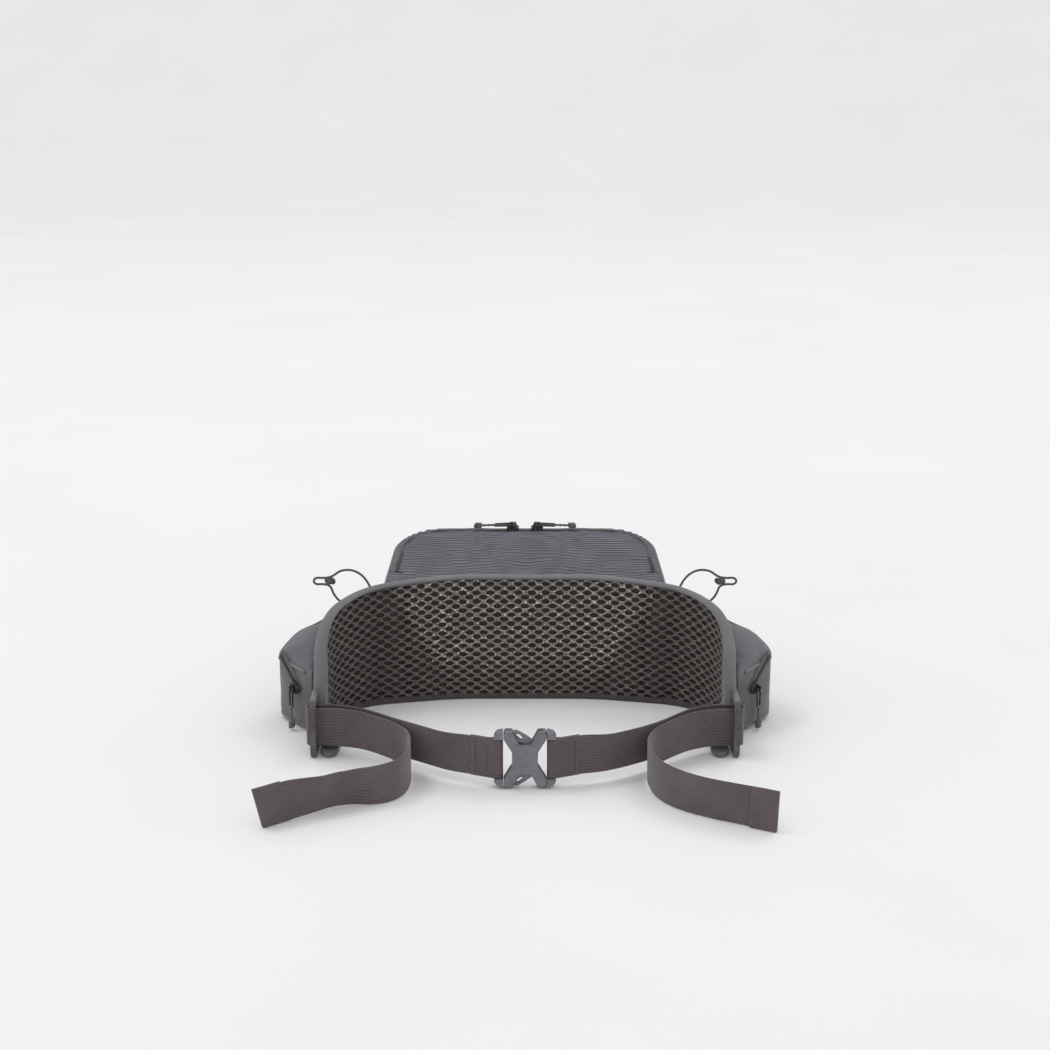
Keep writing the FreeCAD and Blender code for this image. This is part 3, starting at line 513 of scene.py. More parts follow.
def make_mesh():
    """Open spacer mesh: staggered flat hexagons whose middles are cut out, thick at the crossings."""
    width, rise = 6.0 * MM, 3.95 * MM
    tall, short = 2.9 * MM, 1.05 * MM
    build = bmesh.new()
    known = {}

    def vertex(x, z):
        key = (round(x / (0.2 * MM)), round(z / (0.2 * MM)))
        if key not in known:
            known[key] = build.verts.new((x, 0, z))
        return known[key]

    for row in range(-1, int(0.112 / rise) + 2):
        for column in range(-1, int(FACE_LENGTH / (2 * width)) + 2):
            x = column * 2 * width + (row % 2) * width
            z = row * rise + 1.5 * MM
            y = face_at(min(max(x, 0), FACE_LENGTH))[0].y
            if not 2 * MM < z < edge_height(y) - 1 * MM or not 2 * MM < x < FACE_LENGTH - 2 * MM:
                continue
            corners = [(x, z + tall), (x - width, z + short), (x - width, z - short),
                       (x, z - tall), (x + width, z - short), (x + width, z + short)]
            build.faces.new([vertex(*corner) for corner in corners])
    bmesh.ops.inset_individual(build, faces=build.faces[:], thickness=1.4 * MM, depth=0)
    crossings = set(known.values())
    for face in build.faces:
        if len(face.verts) == 6:
            centre = face.calc_center_median()
            for vert in face.verts:
                vert.co.x = centre.x + (vert.co.x - centre.x) * 0.62
                vert.co.z = centre.z + (vert.co.z - centre.z) * 1.05
    bmesh.ops.delete(build, geom=[face for face in build.faces if len(face.verts) == 6], context="FACES")
    for edge in [edge for edge in build.edges if not edge.link_faces]:
        build.edges.remove(edge)
    # A vertex value of painted light and shade for the yarn's colour ramp.
    painted_light = build.verts.layers.float.new("painted_light")
    for vert in build.verts:
        reach, z = vert.co.x, vert.co.z
        y = face_at(reach)[0].y
        ceiling = edge_height(y) - 2 * MM
        z = min(max(z, 0.8 * MM), ceiling)
        crossing = vert in crossings
        wobble = noise.noise(Vector((reach * 300, z * 300, 1.0))) * 0.35 * MM
        x = face_at(reach)[0].x
        lean, fold = crease_lines(x, z)
        # Painted light inside the slanted crease of the middle pad, weaker near the floor; painted shade along the
        # wing's upright fold, weaker higher up.
        centre_painted_light = eased(-lean, -0.006, 0.004) * (0.35 + 0.65 * eased(z, 0.012, 0.04)) + 0.25
        fold_painted_shade = 0.30 * valley(fold + 0.004, 0.016) * (1 - 0.5 * z / 0.11)
        vert[painted_light] = 0.1 + 0.55 * centre_painted_light - fold_painted_shade
        vert.co = panel_point(reach + wobble, z, (-1.1 if crossing else 0.35) * MM)
    mesh = bpy.data.meshes.new("spacer_mesh")
    bmesh.ops.recalc_face_normals(build, faces=build.faces)
    build.to_mesh(mesh)
    build.free()
    lattice = link_mesh("spacer_mesh", mesh)
    solid = lattice.modifiers.new("thick", "SOLIDIFY")
    solid.thickness = 1.9 * MM
    solid.offset = 0
    lattice.modifiers.new("round", "SUBSURF").render_levels = 1
    lattice.modifiers["round"].levels = 1
    apply_modifiers(lattice)
    lattice.data.shade_smooth()
    settle(lattice, "pack", "spacer_mesh", ["back_mesh"])


def make_pads():
    """Three foam pads behind the mesh, crowned, with sunken edges where they meet."""
    split = 0.0995
    middle = FACE_LENGTH / 2
    inner = split / math.cos(math.atan2(26, 109)) + 0.0008
    spans = {"back_foam": (middle - inner, middle + inner),
             "wing_foam_left": (0.0015, middle - inner - 0.0008),
             "wing_foam_right": (middle + inner + 0.0008, FACE_LENGTH - 0.0015)}
    for node, (start, end) in spans.items():
        pieces = round((end - start) / (3 * MM))
        rows = []
        for k in range(pieces + 1):
            reach = start + (end - start) * k / pieces
            rim = min(reach - start, end - reach)
            pinch = 1.8 * MM * valley(rim, 3 * MM)
            top = edge_height(face_at(reach)[0].y) - 2.0 * MM
            levels = [1.0 * MM + (top - 1.0 * MM) * j / 24 for j in range(25)]
            front = [panel_point(reach, z, 3.0 * MM + pinch + 1.2 * MM * valley(min(z, top - z), 2.5 * MM)) for z in levels]
            back = []
            for z in levels[::-1]:
                point, _, normal = face_at(reach)
                place = point + normal * (7.9 * MM - pinch * 0.5)
                place.z = z
                back.append(place)
            rows.append(front + back)
        pad = grid_object(f"{node}_pad", rows, wrap_columns=True, caps=True)
        settle(pad, "pack", "foam", [node])


def binding_profile(index, count):
    """A rolled strip over the panel's edge, narrow along the top and wide down the wing ends."""
    place = min(index, count - 1 - index) / count
    fold = 2.4 + 14 * (1 - eased(place, 0.045, 0.15))
    rise = 0.12 * (fold - 2.4)
    gather = 0.35 * noise.noise(Vector((index * 0.35, 0, 0))) * (1 + 2.5 * (1 - eased(place, 0.02, 0.1)))
    low, high = -1.2 + gather, 8.4
    shape = [(low + 1.2 - rise, -fold), (low + 0.2 - rise, -fold + 0.5), (low - 0.3 - rise, -fold * 0.6), (low - 0.3, -fold * 0.3),
             (low + 0.5, -0.4), (low + 1.9, 0.35), ((low + high) / 2, 0.8 + gather), (high - 1.9, 0.35),
             (high - 0.5, -0.6), (high + 0.1, -2), (high, -5.6), (high - 1.0, -6)]
    return [(a * MM, b * MM) for a, b in shape]


def make_bindings():
    line, sides = [], []
    for k in range(0, 13):
        point, _, normal = face_at(0)
        line.append(Vector((point.x, point.y, 0.001 + 0.033 * k / 12)))
        sides.append(normal)
    pieces = round(FACE_LENGTH / (2.5 * MM))
    for k in range(1, pieces):
        point, _, normal = face_at(FACE_LENGTH * k / pieces)
        line.append(Vector((point.x, point.y, edge_height(point.y))))
        sides.append(normal)
    for k in range(12, -1, -1):
        point, _, normal = face_at(FACE_LENGTH)
        line.append(Vector((point.x, point.y, 0.001 + 0.033 * k / 12)))
        sides.append(normal)
    for _ in range(2):
        line[1:-1] = [(a + 2 * b + c) / 4 for a, b, c in zip(line, line[1:], line[2:])]
    edge = sweep("edge_binding_rolled", line, lambda index: binding_profile(index, len(line)),
                 side_of=lambda index, tangent: sides[index])
    settle(edge, "pack", "binding", ["edge_binding"])

    floor_line = [Vector((*face_at(FACE_LENGTH * k / 160)[0].xy, 2.0 * MM)) for k in range(161)]
    shape = [(-1.0, -2), (-1.2, -1.2), (-1.3, 0.6), (-0.8, 1.6), (0.6, 2.1), (4, 2.2), (7.4, 2.1), (8.3, 1.4), (8.4, -1.2), (8, -2)]
    hem = sweep("bottom_binding_rolled", floor_line, [(a * MM, b * MM) for a, b in shape])
    settle(hem, "pack", "foam", ["bottom_binding"])


make_mesh()
make_pads()
make_bindings()


# ---------------------------------------------------------------- padded cloth by simulation

def puffed(obj, cap, free, pressure=4.0, voxel=5 * MM):
    """Blows a closed form up as cloth. free(point) from 0 to 1 scales how far, up to cap, a point moves."""
    remesh = obj.modifiers.new("even", "REMESH")
    remesh.mode = "VOXEL"
    remesh.voxel_size = voxel
    apply_modifiers(obj)
    rest = [vert.co.copy() for vert in obj.data.vertices]
    cloth = obj.modifiers.new("cloth", "CLOTH")
    cloth.settings.use_pressure = True
    cloth.settings.uniform_pressure_force = pressure
    cloth.settings.effector_weights.gravity = 0
    cloth.settings.quality = 5
    cloth.collision_settings.use_collision = False
    cloth.point_cache.frame_start = 1
    cloth.point_cache.frame_end = 20
    scene = bpy.context.scene
    for number in range(1, 21):
        scene.frame_set(number)
    graph = bpy.context.evaluated_depsgraph_get()
    blown = [vert.co.copy() for vert in obj.evaluated_get(graph).data.vertices]
    obj.modifiers.clear()
    scene.frame_set(1)
    for vert, start, end in zip(obj.data.vertices, rest, blown):
        move = end - start
        if move.length > cap:
            move *= cap / move.length
        vert.co = start + move * free(start)
    return obj


def finish_cloth(obj, creases):
    """Smooths blown cloth, adds folds in its surface, and gives it a finer mesh."""
    obj.modifiers.new("even", "SMOOTH").iterations = 4
    finer = obj.modifiers.new("finer", "SUBSURF")
    finer.levels = finer.render_levels = 1
    apply_modifiers(obj)
    normals = [vert.normal.copy() for vert in obj.data.vertices]
    for vert, normal in zip(obj.data.vertices, normals):
        vert.co += normal * creases(vert.co)
        vert.co.z = max(vert.co.z, 0.0)
    obj.data.shade_smooth()
    return obj


def closed_loft(name, outline, floor, roof, rings=8):
    """A closed form over a plan outline, from a floor height to a roof height at each place."""
    rows = []
    for k in range(rings + 1):
        rows.append([Vector((p.x, p.y, floor + (roof(p.x, p.y) - floor) * k / rings)) for p in outline])
    return grid_object(name, rows, wrap_columns=True, caps=True)


def face_distance(point):
    """How far a point lies behind the wearer face in plan."""
    best = min(range(0, len(face_line), 3), key=lambda k: (face_line[k].xy - point.xy).length_squared)
    normal = UP.cross(face_tangents[best])
    return (Vector((*point.xy, 0)) - face_line[best]).dot(normal)


def folds(point, seed, along=26.0, up=14.0):
    """Soft creases of a loose fabric."""
    drawn = noise.noise(Vector((point.x * along, point.y * along, point.z * up + seed)))
    fine = noise.noise(Vector((point.x * 70, point.y * 70, point.z * 45 + seed)))
    return drawn * 1.3 * MM + fine * 0.45 * MM


# ---------------------------------------------------------------- main compartment

MAIN = [(-121, 47), (121, 47), (113, 200), (-113, 200)]
LID_NORMAL = Vector((0, -0.1837, 0.9830))
LID_POINT = Vector((0, 0.101, 0.106))


def lid_height(y, thickness=0.0):
    return LID_POINT.z - (y - LID_POINT.y) * LID_NORMAL.y / LID_NORMAL.z + thickness / LID_NORMAL.z


def back_line(margin):
    """Plan of the back of the panel between the ends of the main compartment, from right to left."""
    line = []
    for k in range(len(face_line) - 1, -1, -4):
        normal = UP.cross(face_tangents[k])
        point = face_line[k] + normal * (8 * MM + margin)
        if abs(point.x) < 0.1165:
            line.append(point)
    return line


def main_plan(margin=0.0):
    """Closed plan of the main compartment behind the panel, anticlockwise."""
    def side_x(y):
        return (121 - 8 * (y / MM - 47) / 153) * MM - margin
    back = back_line(0.6 * MM)
    outer = rounded([(-x * MM, y * MM) if False else (x * MM, y * MM) for x, y in
                     [(121, 87), (113, 200), (-113, 200), (-121, 87)]], [0, 48 * MM, 48 * MM, 0], 5 * MM)
    return back[::-1] + outer


def make_main():
    plan = main_plan()
    shell = closed_loft("main_bag", plan, 0.3 * MM, lambda x, y: lid_height(y) - 1.0 * MM, 12)

    def free(point):
        near_panel = min(max((face_distance(point) - 10 * MM) / (18 * MM), 0), 1)
        near_lid = min(max((lid_height(point.y) - point.z - 4 * MM) / (14 * MM), 0), 1)
        near_floor = min(max(point.z / (8 * MM), 0), 1)
        return near_panel * near_lid * near_floor

    puffed(shell, 6 * MM, free)

    def creases(point):
        return folds(point, 3.0) * free(point) * 1.3
    finish_cloth(shell, creases)
    settle(shell, "pack", "shell_fabric", ["main_shell"])


def make_lid():
    """The ribbed top panel: fine ribs across it, a shallow dimple and drawn folds."""
    columns, deep = 116, 210
    rows = []
    y_low, y_high = 0.0872, 0.1985
    plan = rounded([(121 * MM, 60 * MM), (113 * MM, 200 * MM), (0, 200 * MM)], [0, 48 * MM, 0], 1 * MM)

    def half_width(y):
        for a, b in zip(plan, plan[1:]):
            if a.y <= y <= b.y and b.y > a.y:
                return a.x + (b.x - a.x) * (y - a.y) / (b.y - a.y)
        return plan[-1].x
    back = sorted(back_line(0.3 * MM), key=lambda p: p.x)

    def back_y(x):
        for a, b in zip(back, back[1:]):
            if a.x <= x <= b.x:
                return a.y + (b.y - a.y) * (x - a.x) / max(b.x - a.x, 1e-9)
        return back[0].y if x < 0 else back[-1].y
    for i in range(deep + 1):
        v = i / deep
        row = []
        for j in range(columns + 1):
            u = 2 * j / columns - 1
            y = 0.1012 + (y_high - 0.1012) * v
            x = half_width(y) * math.sin(u * math.pi / 2) * 0.5 + half_width(y) * u * 0.5
            y += (back_y(x) - 0.1012) * max(0, 1 - v / 0.25) ** 2
            drift = 1.6 * MM * math.cos(x * 40) + 0.8 * MM * noise.noise(Vector((x * 30, y * 30, 6)))
            rib = 0.7 * MM * math.cos(math.tau * (y + drift) / (4.4 * MM))
            dent = -3.0 * MM * math.exp(-((x / 0.016) ** 2 + ((y - 0.125) / 0.016) ** 2))
            pull = 1.0 * MM * noise.noise(Vector((x * 22, y * 60, 9))) + 0.5 * MM * noise.noise(Vector((x * 60, y * 90, 2)))
            crown = 4.5 * MM * (1 - u ** 4) * math.sin(math.pi * min(v * 1.02, 1) ** 1.3)
            rim = min(1, min(v, 1 - v) / 0.12, (1 - abs(u)) / 0.06)
            lift = 2.6 * MM + rib + (dent + pull + crown) * rim
            row.append(Vector((x, y, lid_height(y))) + LID_NORMAL * lift)
        rows.append(row)
    top = grid_object("top_panel_ribbed", rows)
    solid = top.modifiers.new("thick", "SOLIDIFY")
    solid.thickness = 2.2 * MM
    solid.offset = -1 if top.data.polygons[0].normal.z > 0 else 1
    apply_modifiers(top)
    settle(top, "pack", "ribbed_fabric", ["top_panel"])


def rim_cord(name, line, material, radius=1.3 * MM, closed=False, body="pack"):
    """A rolled seam along a line."""
    return settle(sweep(name, line, ring(radius, 8), closed=closed), body, material)


def make_seams():
    outer = rounded([(120.6 * MM, 88 * MM), (112.8 * MM, 199.6 * MM), (-112.8 * MM, 199.6 * MM), (-120.6 * MM, 88 * MM)],
                    [0, 48 * MM, 48 * MM, 0], 3 * MM)
    rim_cord("lid_seam", [Vector((p.x, p.y, lid_height(p.y) + 0.6 * MM)) for p in outer], "binding", 1.5 * MM)
    rim_cord("floor_seam", [Vector((p.x, p.y, 2.2 * MM)) for p in outer], "binding", 1.4 * MM)


make_main()
make_lid()
make_seams()


# ---------------------------------------------------------------- zips

def lid_place(x, along, lift):
    """A point of the top panel's surface from its own plan."""
    slope = Vector((0, LID_NORMAL.z, -LID_NORMAL.y))
    return LID_POINT + LID_NORMAL * (2.5 * MM + lift) + Vector((x, 0, 0)) + slope * along


def zip_pieces(name, line, up_of, body, nodes):
    """A woven tape with turned edges, and two rows of interlocking coil on it."""
    tape_rows, teeth = [], []
    runs = tangents(line)
    for index, (point, run) in enumerate(zip(line, runs)):
        up = up_of(index)
        side = up.cross(run).normalized()
        profile = [(-6, 0.05), (-6, 0.5), (-5.6, 0.8), (-3.4, 0.75), (-2.6, 0.95), (2.6, 0.95), (3.4, 0.75), (5.6, 0.8), (6, 0.5), (6, 0.05)]
        tape_rows.append([point + side * a * MM + up * b * MM for a, b in profile])
    tape = grid_object(f"{name}_tape_woven", tape_rows, wrap_columns=True, caps=True)
    settle(tape, body, "zip_tape", [nodes[0]])
    reach = [0.0]
    for a, b in zip(line, line[1:]):
        reach.append(reach[-1] + (b - a).length)
    build = bmesh.new()
    pitch = 1.25 * MM
    at = 0
    for k in range(int(reach[-1] / pitch)):
        want = (k + 0.5) * pitch
        while at < len(reach) - 2 and reach[at + 1] < want:
            at += 1
        t = (want - reach[at]) / (reach[at + 1] - reach[at])
        point = line[at].lerp(line[at + 1], t)
        run = runs[at]
        up = up_of(at)
        side = up.cross(run).normalized() * (1 if k % 2 else -1)
        rows = []
        for a, b, grow in [(-0.9, 1.0, 0.8), (-0.5, 1.75, 1.0), (0.6, 2.05, 1.0), (1.7, 1.75, 0.9), (2.0, 1.0, 0.7)]:
            centre = point + side * a * MM + up * b * MM
            rows.append([centre + run * c * 0.5 * MM * grow + up * d * 0.32 * MM * grow for c, d in ring(1, 6)])
        made = [[build.verts.new(p) for p in row] for row in rows]
        for first, second in zip(made, made[1:]):
            for j in range(6):
                build.faces.new([first[j], second[j], second[(j + 1) % 6], first[(j + 1) % 6]]).smooth = True
        build.faces.new(made[0][::-1])
        build.faces.new(made[-1])
    bmesh.ops.recalc_face_normals(build, faces=build.faces)
    mesh = bpy.data.meshes.new(f"{name}_coil_teeth")
    build.to_mesh(mesh)
    build.free()
    settle(link_mesh(mesh.name, mesh), body, "zip_coil", [nodes[1]])


def make_main_zip():
    plan = rounded([(-112 * MM, 8 * MM), (-105 * MM, 92.6 * MM), (105 * MM, 92.6 * MM), (112 * MM, 8 * MM)],
                   [0, 40 * MM, 40 * MM, 0], 2 * MM)
    line = [lid_place(p.x, p.y, 0) for p in plan]
    zip_pieces("main_zip", line, lambda index: LID_NORMAL, "pack", ["main_zip_tape", "main_zip_coil"])


def make_pocket_zip(side_name, side):
    along = Vector((side * 0.4759, 0.5857, 0.6561))
    outward = Vector((side * 0.7761, -0.6306, 0))
    origin = Vector((side * 0.1866, 0.0148, 0.033))
    line = [origin + along * 0.040 * k / 20 for k in range(21)]
    zip_pieces(f"pocket_zip_{side_name}", line, lambda index: outward, "pack",
               [f"pocket_zip_{side_name}_tape", f"pocket_zip_{side_name}_coil"])


make_main_zip()
for side_name, side in SIDES.items():
    make_pocket_zip(side_name, side)


# ---------------------------------------------------------------- wing pockets

POCKET = [(121.5, 67), (150, 0), (172, 0), (186, 14), (212, 46), (198, 74), (165, 95), (121.5, 108)]
POCKET_RADII = [0, 0, 6, 6, 12, 24, 30, 0]


def roof_height(x, y):
    return (82 - 0.2 * (abs(x) / MM - 165) + 0.28 * (y / MM - 93)) * MM


def pocket_plan(side):
    """Plan of a wing pocket behind the wing's back, anticlockwise."""
    outer = rounded([(x * MM, y * MM) for x, y in POCKET[2:]], [0] + [r * MM for r in POCKET_RADII[3:-1]] + [0], 4 * MM)
    outer = [p for p in outer if face_distance(p) > 8.6 * MM]
    back = []
    for k in range(len(face_line) - 1, 0, -4):
        point = face_line[k] + UP.cross(face_tangents[k]) * 8.4 * MM
        if point.x < 0.1225:
            break
        if point.y > 0.001:
            back.append(point)
    plan = outer + back[::-1]
    if side < 0:
        plan = [Vector((-p.x, p.y, 0)) for p in plan[::-1]]
    return plan


def make_pocket(side_name, side):
    plan = pocket_plan(side)
    pocket = closed_loft(f"pocket_{side_name}", plan, 0.3 * MM, roof_height, 9)
    zip_middle = Vector((side * 0.1961, 0.0265, 0.046))
    zip_out = Vector((side * 0.7761, -0.6306, 0))

    def free(point):
        near_panel = min(max((face_distance(point) - 10 * MM) / (14 * MM), 0), 1)
        from_zip = (point - zip_middle)
        near_zip = min(max((from_zip.length - 14 * MM) / (20 * MM), 0), 1) if from_zip.dot(zip_out) > -14 * MM else 1
        near_main = min(max((abs(point.x) - 0.1235) / 0.012, 0), 1)
        near_floor = min(max(point.z / (6 * MM), 0), 1)
        return near_panel * near_zip * near_main * near_floor

    puffed(pocket, 10 * MM, free, pressure=8.0, voxel=4.5 * MM)
    finish_cloth(pocket, lambda point: folds(point, 20.0 + side, 34, 22) * free(point) * 1.2)
    pocket.data.materials.append(MATERIALS["shell_fabric"])
    pocket.data.materials.append(MATERIALS["pocket_top"])
    for face in pocket.data.polygons:
        if face.center.z > roof_height(face.center.x, face.center.y) - 3.0 * MM:
            face.material_index = 1
    settle(pocket, "pack", "shell_fabric", [f"pocket_shell_{side_name}", f"pocket_top_{side_name}"])
    surface = BVHTree.FromObject(pocket, bpy.context.evaluated_depsgraph_get())
    for name, drop, radius in (("roof_seam", 2.6, 1.2), ("base_seam", None, 1.1)):
        line = []
        for p in plan:
            z = roof_height(p.x, p.y) - drop * MM if drop else 2.4 * MM
            spot, normal, _, _ = surface.find_nearest(Vector((p.x * 1.02, p.y, z)))
            if face_distance(p) > 12 * MM:
                line.append(spot + normal * 0.3 * MM)
        for _ in range(3):
            line[1:-1] = [(a + b * 2 + c) / 4 for a, b, c in zip(line, line[1:], line[2:])]
        rim_cord(f"pocket_{name}_{side_name}", line, "binding", radius * MM)


for side_name, side in SIDES.items():
    make_pocket(side_name, side)


# ---------------------------------------------------------------- belt

BUCKLE_Y = -111
WEB_WIDTH, WEB_LOW = 32, 7.9
BELT_LOW, BELT_WIDE = WEB_LOW * MM, WEB_WIDTH * MM
BELT = {
    1: [(39, -105.8), (43.2, -104), (60, -100), (76, -91), (95, -77.5), (113, -61), (134, -42.5), (150, -34.3), (163, -33.5), (176, -33.5), (176, -38.5)],
    -1: [(39, -105.8), (43.2, -104), (60, -97), (77, -83.5), (93, -71), (115, -53.5), (134, -40.5), (150, -34.3), (163, -33.5), (176, -33.5), (176, -38.5)],
}
TAIL = {
    1: [(176, -38.5), (176, -43.5), (163, -43.5), (150, -44.3), (134, -52), (117, -66), (104, -78), (97, -91),
        (95, -108), (100, -134), (114, -156), (137, -173), (160, -185), (184, -198)],
    -1: [(176, -38.5), (176, -43.5), (163, -43.5), (150, -44.3), (134, -49), (115, -61), (101, -72), (92, -83),
         (89, -98), (90, -120), (99, -140), (114, -148), (131, -146), (146, -151), (161, -165), (192, -191)],
}
WEB_LEVELS = [0, 0.25, 0.7, 1.4, 2.4] + [3.4 + 1.2 * k for k in range(22)] + [WEB_WIDTH - gap for gap in (2.4, 1.4, 0.7, 0.25, 0)]


def web_section(thick=1.6):
    """Outline of flat webbing on its edge: rounded selvedges and shallow lengthwise ribs."""
    half = thick / 2
    near = []
    for index, level in enumerate(WEB_LEVELS):
        rim = min(level, WEB_WIDTH - level)
        body = half * math.sqrt(max(1 - max(1 - rim / 0.8, 0) ** 2, 0.02))
        near.append((body - (0.10 if index % 2 and rim > 3 else 0) - (0.14 if 2.2 < rim < 3.2 else 0), level))
    return [(a * MM, b * MM) for a, b in near + [(-a, b) for a, b in near[::-1]]]


def hump(value, start, full, falling, end):
    """0 before start, 1 from full to falling, and 0 again after end."""
    return eased(value, start, full) * (1 - eased(value, falling, end))


def strap(name, points, sink=None, lean=None, thick=1.6, wave=0.0, rake=None):
    """Webbing along a plan path. From a length along it, sink lowers it, lean tilts its top to the
    side and rake slants it forward."""
    line = [Vector((x, y, 0)) for x, y in points]
    line = smooth_path([p * MM for p in line], 1.6 * MM)
    runs = tangents(line)
    section = web_section(thick)
    rows, reach = [], 0.0
    for index, (point, run) in enumerate(zip(line, runs)):
        if index:
            reach += (point - line[index - 1]).length
        side = UP.cross(run).normalized()
        low = BELT_LOW - (sink(reach) if sink else 0)
        tilt = lean(reach) if lean else 0.0
        ahead = run * rake(reach) if rake else Vector()
        ripple = wave * noise.noise(Vector((point.x * 30, point.y * 30, 5)))
        row = []
        for a, b in section:
            shift = math.sin(tilt) * b + ripple * (b / BELT_WIDE)
            row.append(point + side * (a + shift) + ahead * b + UP * (low + b * math.cos(tilt)))
        rows.append(row)
    return grid_object(name, rows, wrap_columns=True, caps=True)


def stitch_row(name, spots, run_of, out_of, body, length=2.4 * MM, radius=0.28 * MM):
    """Raised stitches at spots of a surface, each along its own direction."""
    build = bmesh.new()
    for index, spot in enumerate(spots):
        run, out = run_of(index), out_of(index)
        side = out.cross(run).normalized()
        made = []
        for t, lift, thin in ((-0.5, -0.1, 0.6), (-0.3, 0.25, 1), (0, 0.4, 1.1), (0.3, 0.25, 1), (0.5, -0.1, 0.6)):
            centre = spot + run * t * length + out * lift * radius
            made.append([build.verts.new(centre + side * a * radius * thin + out * b * radius * thin) for a, b in ring(1, 6)])
        for first, second in zip(made, made[1:]):
            for j in range(6):
                build.faces.new([first[j], second[j], second[(j + 1) % 6], first[(j + 1) % 6]]).smooth = True
        build.faces.new(made[0][::-1])
        build.faces.new(made[-1])
    bmesh.ops.recalc_face_normals(build, faces=build.faces)
    mesh = bpy.data.meshes.new(name)
    build.to_mesh(mesh)
    build.free()
    obj = link_mesh(name, mesh)
    obj.data.materials.append(MATERIALS["stitching"])
    return obj


def turn_grain(obj):
    """Swap U and V, for webbing whose grid was built up its width."""
    for corner in obj.data.uv_layers.active.data:
        corner.uv = corner.uv[1], corner.uv[0]


def make_belt(side_name, side):
    points = [(side * x, y) for x, y in BELT[side]]
    tip = math.radians(7 if side > 0 else 4)
    belt = strap(f"belt_strap_{side_name}", points, lean=lambda reach: -side * tip * hump(reach, 0.005, 0.03, 0.07, 0.12))
    belt.data.materials.append(MATERIALS["webbing"])
    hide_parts(f"belt_webbing_{side_name}")
    if side < 0:
        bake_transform(belt)
    else:
        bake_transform(belt)

    points = [(side * x, y) for x, y in TAIL[side]]
    total = sum(math.dist(a, b) for a, b in zip(points, points[1:])) * MM
    rake = 0.04 if side > 0 else 0.25
    tail = strap(f"tail_strap_{side_name}", points,
                 sink=lambda reach: (WEB_LOW - 0.2) * MM * eased(reach, 0.045, 0.15),
                 lean=lambda reach: -side * (0.04 if side > 0 else 0.27) * hump(reach, 0.16, 0.2, 0.215, 0.245), wave=0.8 * MM,
                 rake=lambda reach: rake * eased(reach, total - 0.06, total - 0.02))
    tail.data.materials.append(MATERIALS["webbing"])
    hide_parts(f"belt_tail_{side_name}")
    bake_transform(tail)

    line = smooth_path([Vector((x, y, 0)) * MM for x, y in points], 1.6 * MM)[-12:][::-1]
    runs = tangents(line)
    sides = [UP.cross(run).normalized() for run in runs]
    section, rows = web_section(1.5), []
    for k, (point, run, across) in enumerate(zip(line, runs, sides)):
        thin = min(1, 0.4 + k / 2, 0.4 + (len(line) - 1 - k) / 2)
        rows.append([point + across * (a * thin + 1.62 * MM) - run * rake * b + UP * (0.2 * MM + b) for a, b in section])
    hem = grid_object(f"hem_fold_{side_name}", rows, wrap_columns=True, caps=True)
    settle(hem, "pack", "webbing", [f"tail_hem_{side_name}"])
    spots = []
    slanted = (UP - runs[-2] * rake).normalized()
    for k in (-2, -3):
        for level in range(11):
            spots.append(line[k] - sides[k] * 0.86 * MM + (UP - runs[k] * rake) * (1.9 + 2.8 * level) * MM)
    stitches = stitch_row(f"hem_stitches_{side_name}", spots, lambda i: slanted, lambda i: -sides[-2], "pack")
    settle(stitches, "pack", "stitching")


def make_sewn_end(side_name, side):
    """The webbing doubled round the buckle's bar and box-stitched."""
    bar, hole, sleeve = 20.4, 1.95, 3.55
    outside = [(42.0, 8.9), (35, 5.9), (29, 2.9), (26.5, 2.5), (23.5, 3.3)]
    outside += [(bar + sleeve * math.cos(a), sleeve * math.sin(a)) for a in [math.radians(60 + 20 * k) for k in range(13)]]
    outside += [(23.5, -3.3), (26.5, -1.6), (29, -0.5), (35, 2.3), (42.0, 5.3)]
    rows = []
    section_levels = [0, 0.3, 0.9, 2.0] + [3.4 + 1.2 * k for k in range(22)] + [WEB_WIDTH - gap for gap in (2, 0.9, 0.3, 0)]
    spine = [Vector((x, y, 0)) for x, y in outside]
    for level in section_levels:
        rim = min(level, WEB_WIDTH - level)
        shrink = 0.45 * max(1 - rim / 0.9, 0) ** 2
        rows.append([Vector((side * p.x, BUCKLE_Y + p.y + (shrink if p.y < 2 and p.x < 24 else -shrink if p.x < 24 else 0), WEB_LOW + level)) * MM
                     for p in spine])
    sleeve_obj = grid_object(f"sewn_fold_{side_name}", rows, wrap_columns=True, caps=True)
    turn_grain(sleeve_obj)
    body = "buckle_plug" if side < 0 else "pack"
    settle(sleeve_obj, body, "webbing", [f"sewn_end_{side_name}"])
    run = Vector((side * 7, 3, 0)).normalized()
    out = Vector((side * 3, -7, 0)).normalized()
    spots, runs = [], []
    start = Vector((side * 29.5, BUCKLE_Y - 0.45, 0)) * MM
    for k in range(12):
        for shift in (0.6, 11.2):
            spots.append(start + run * shift * MM + out * 0.12 * MM + UP * (WEB_LOW + 2.6 + 2.45 * k) * MM)
            runs.append((UP + run * (0.5 if k % 2 else -0.5)).normalized() if side > 0 else UP)
    for level in (WEB_LOW + 1.9, WEB_LOW + WEB_WIDTH - 1.9):
        for k in range(4):
            spots.append(start + run * (2.0 + 2.6 * k) * MM + out * 0.12 * MM + UP * level * MM)
            runs.append(run)
    stitches = stitch_row(f"sewn_stitches_{side_name}", spots, lambda i: runs[i], lambda i: out, body)
    settle(stitches, body, "stitching")


for side_name, side in SIDES.items():
    make_belt(side_name, side)
    make_sewn_end(side_name, side)


# ---------------------------------------------------------------- wing tips and lock loops

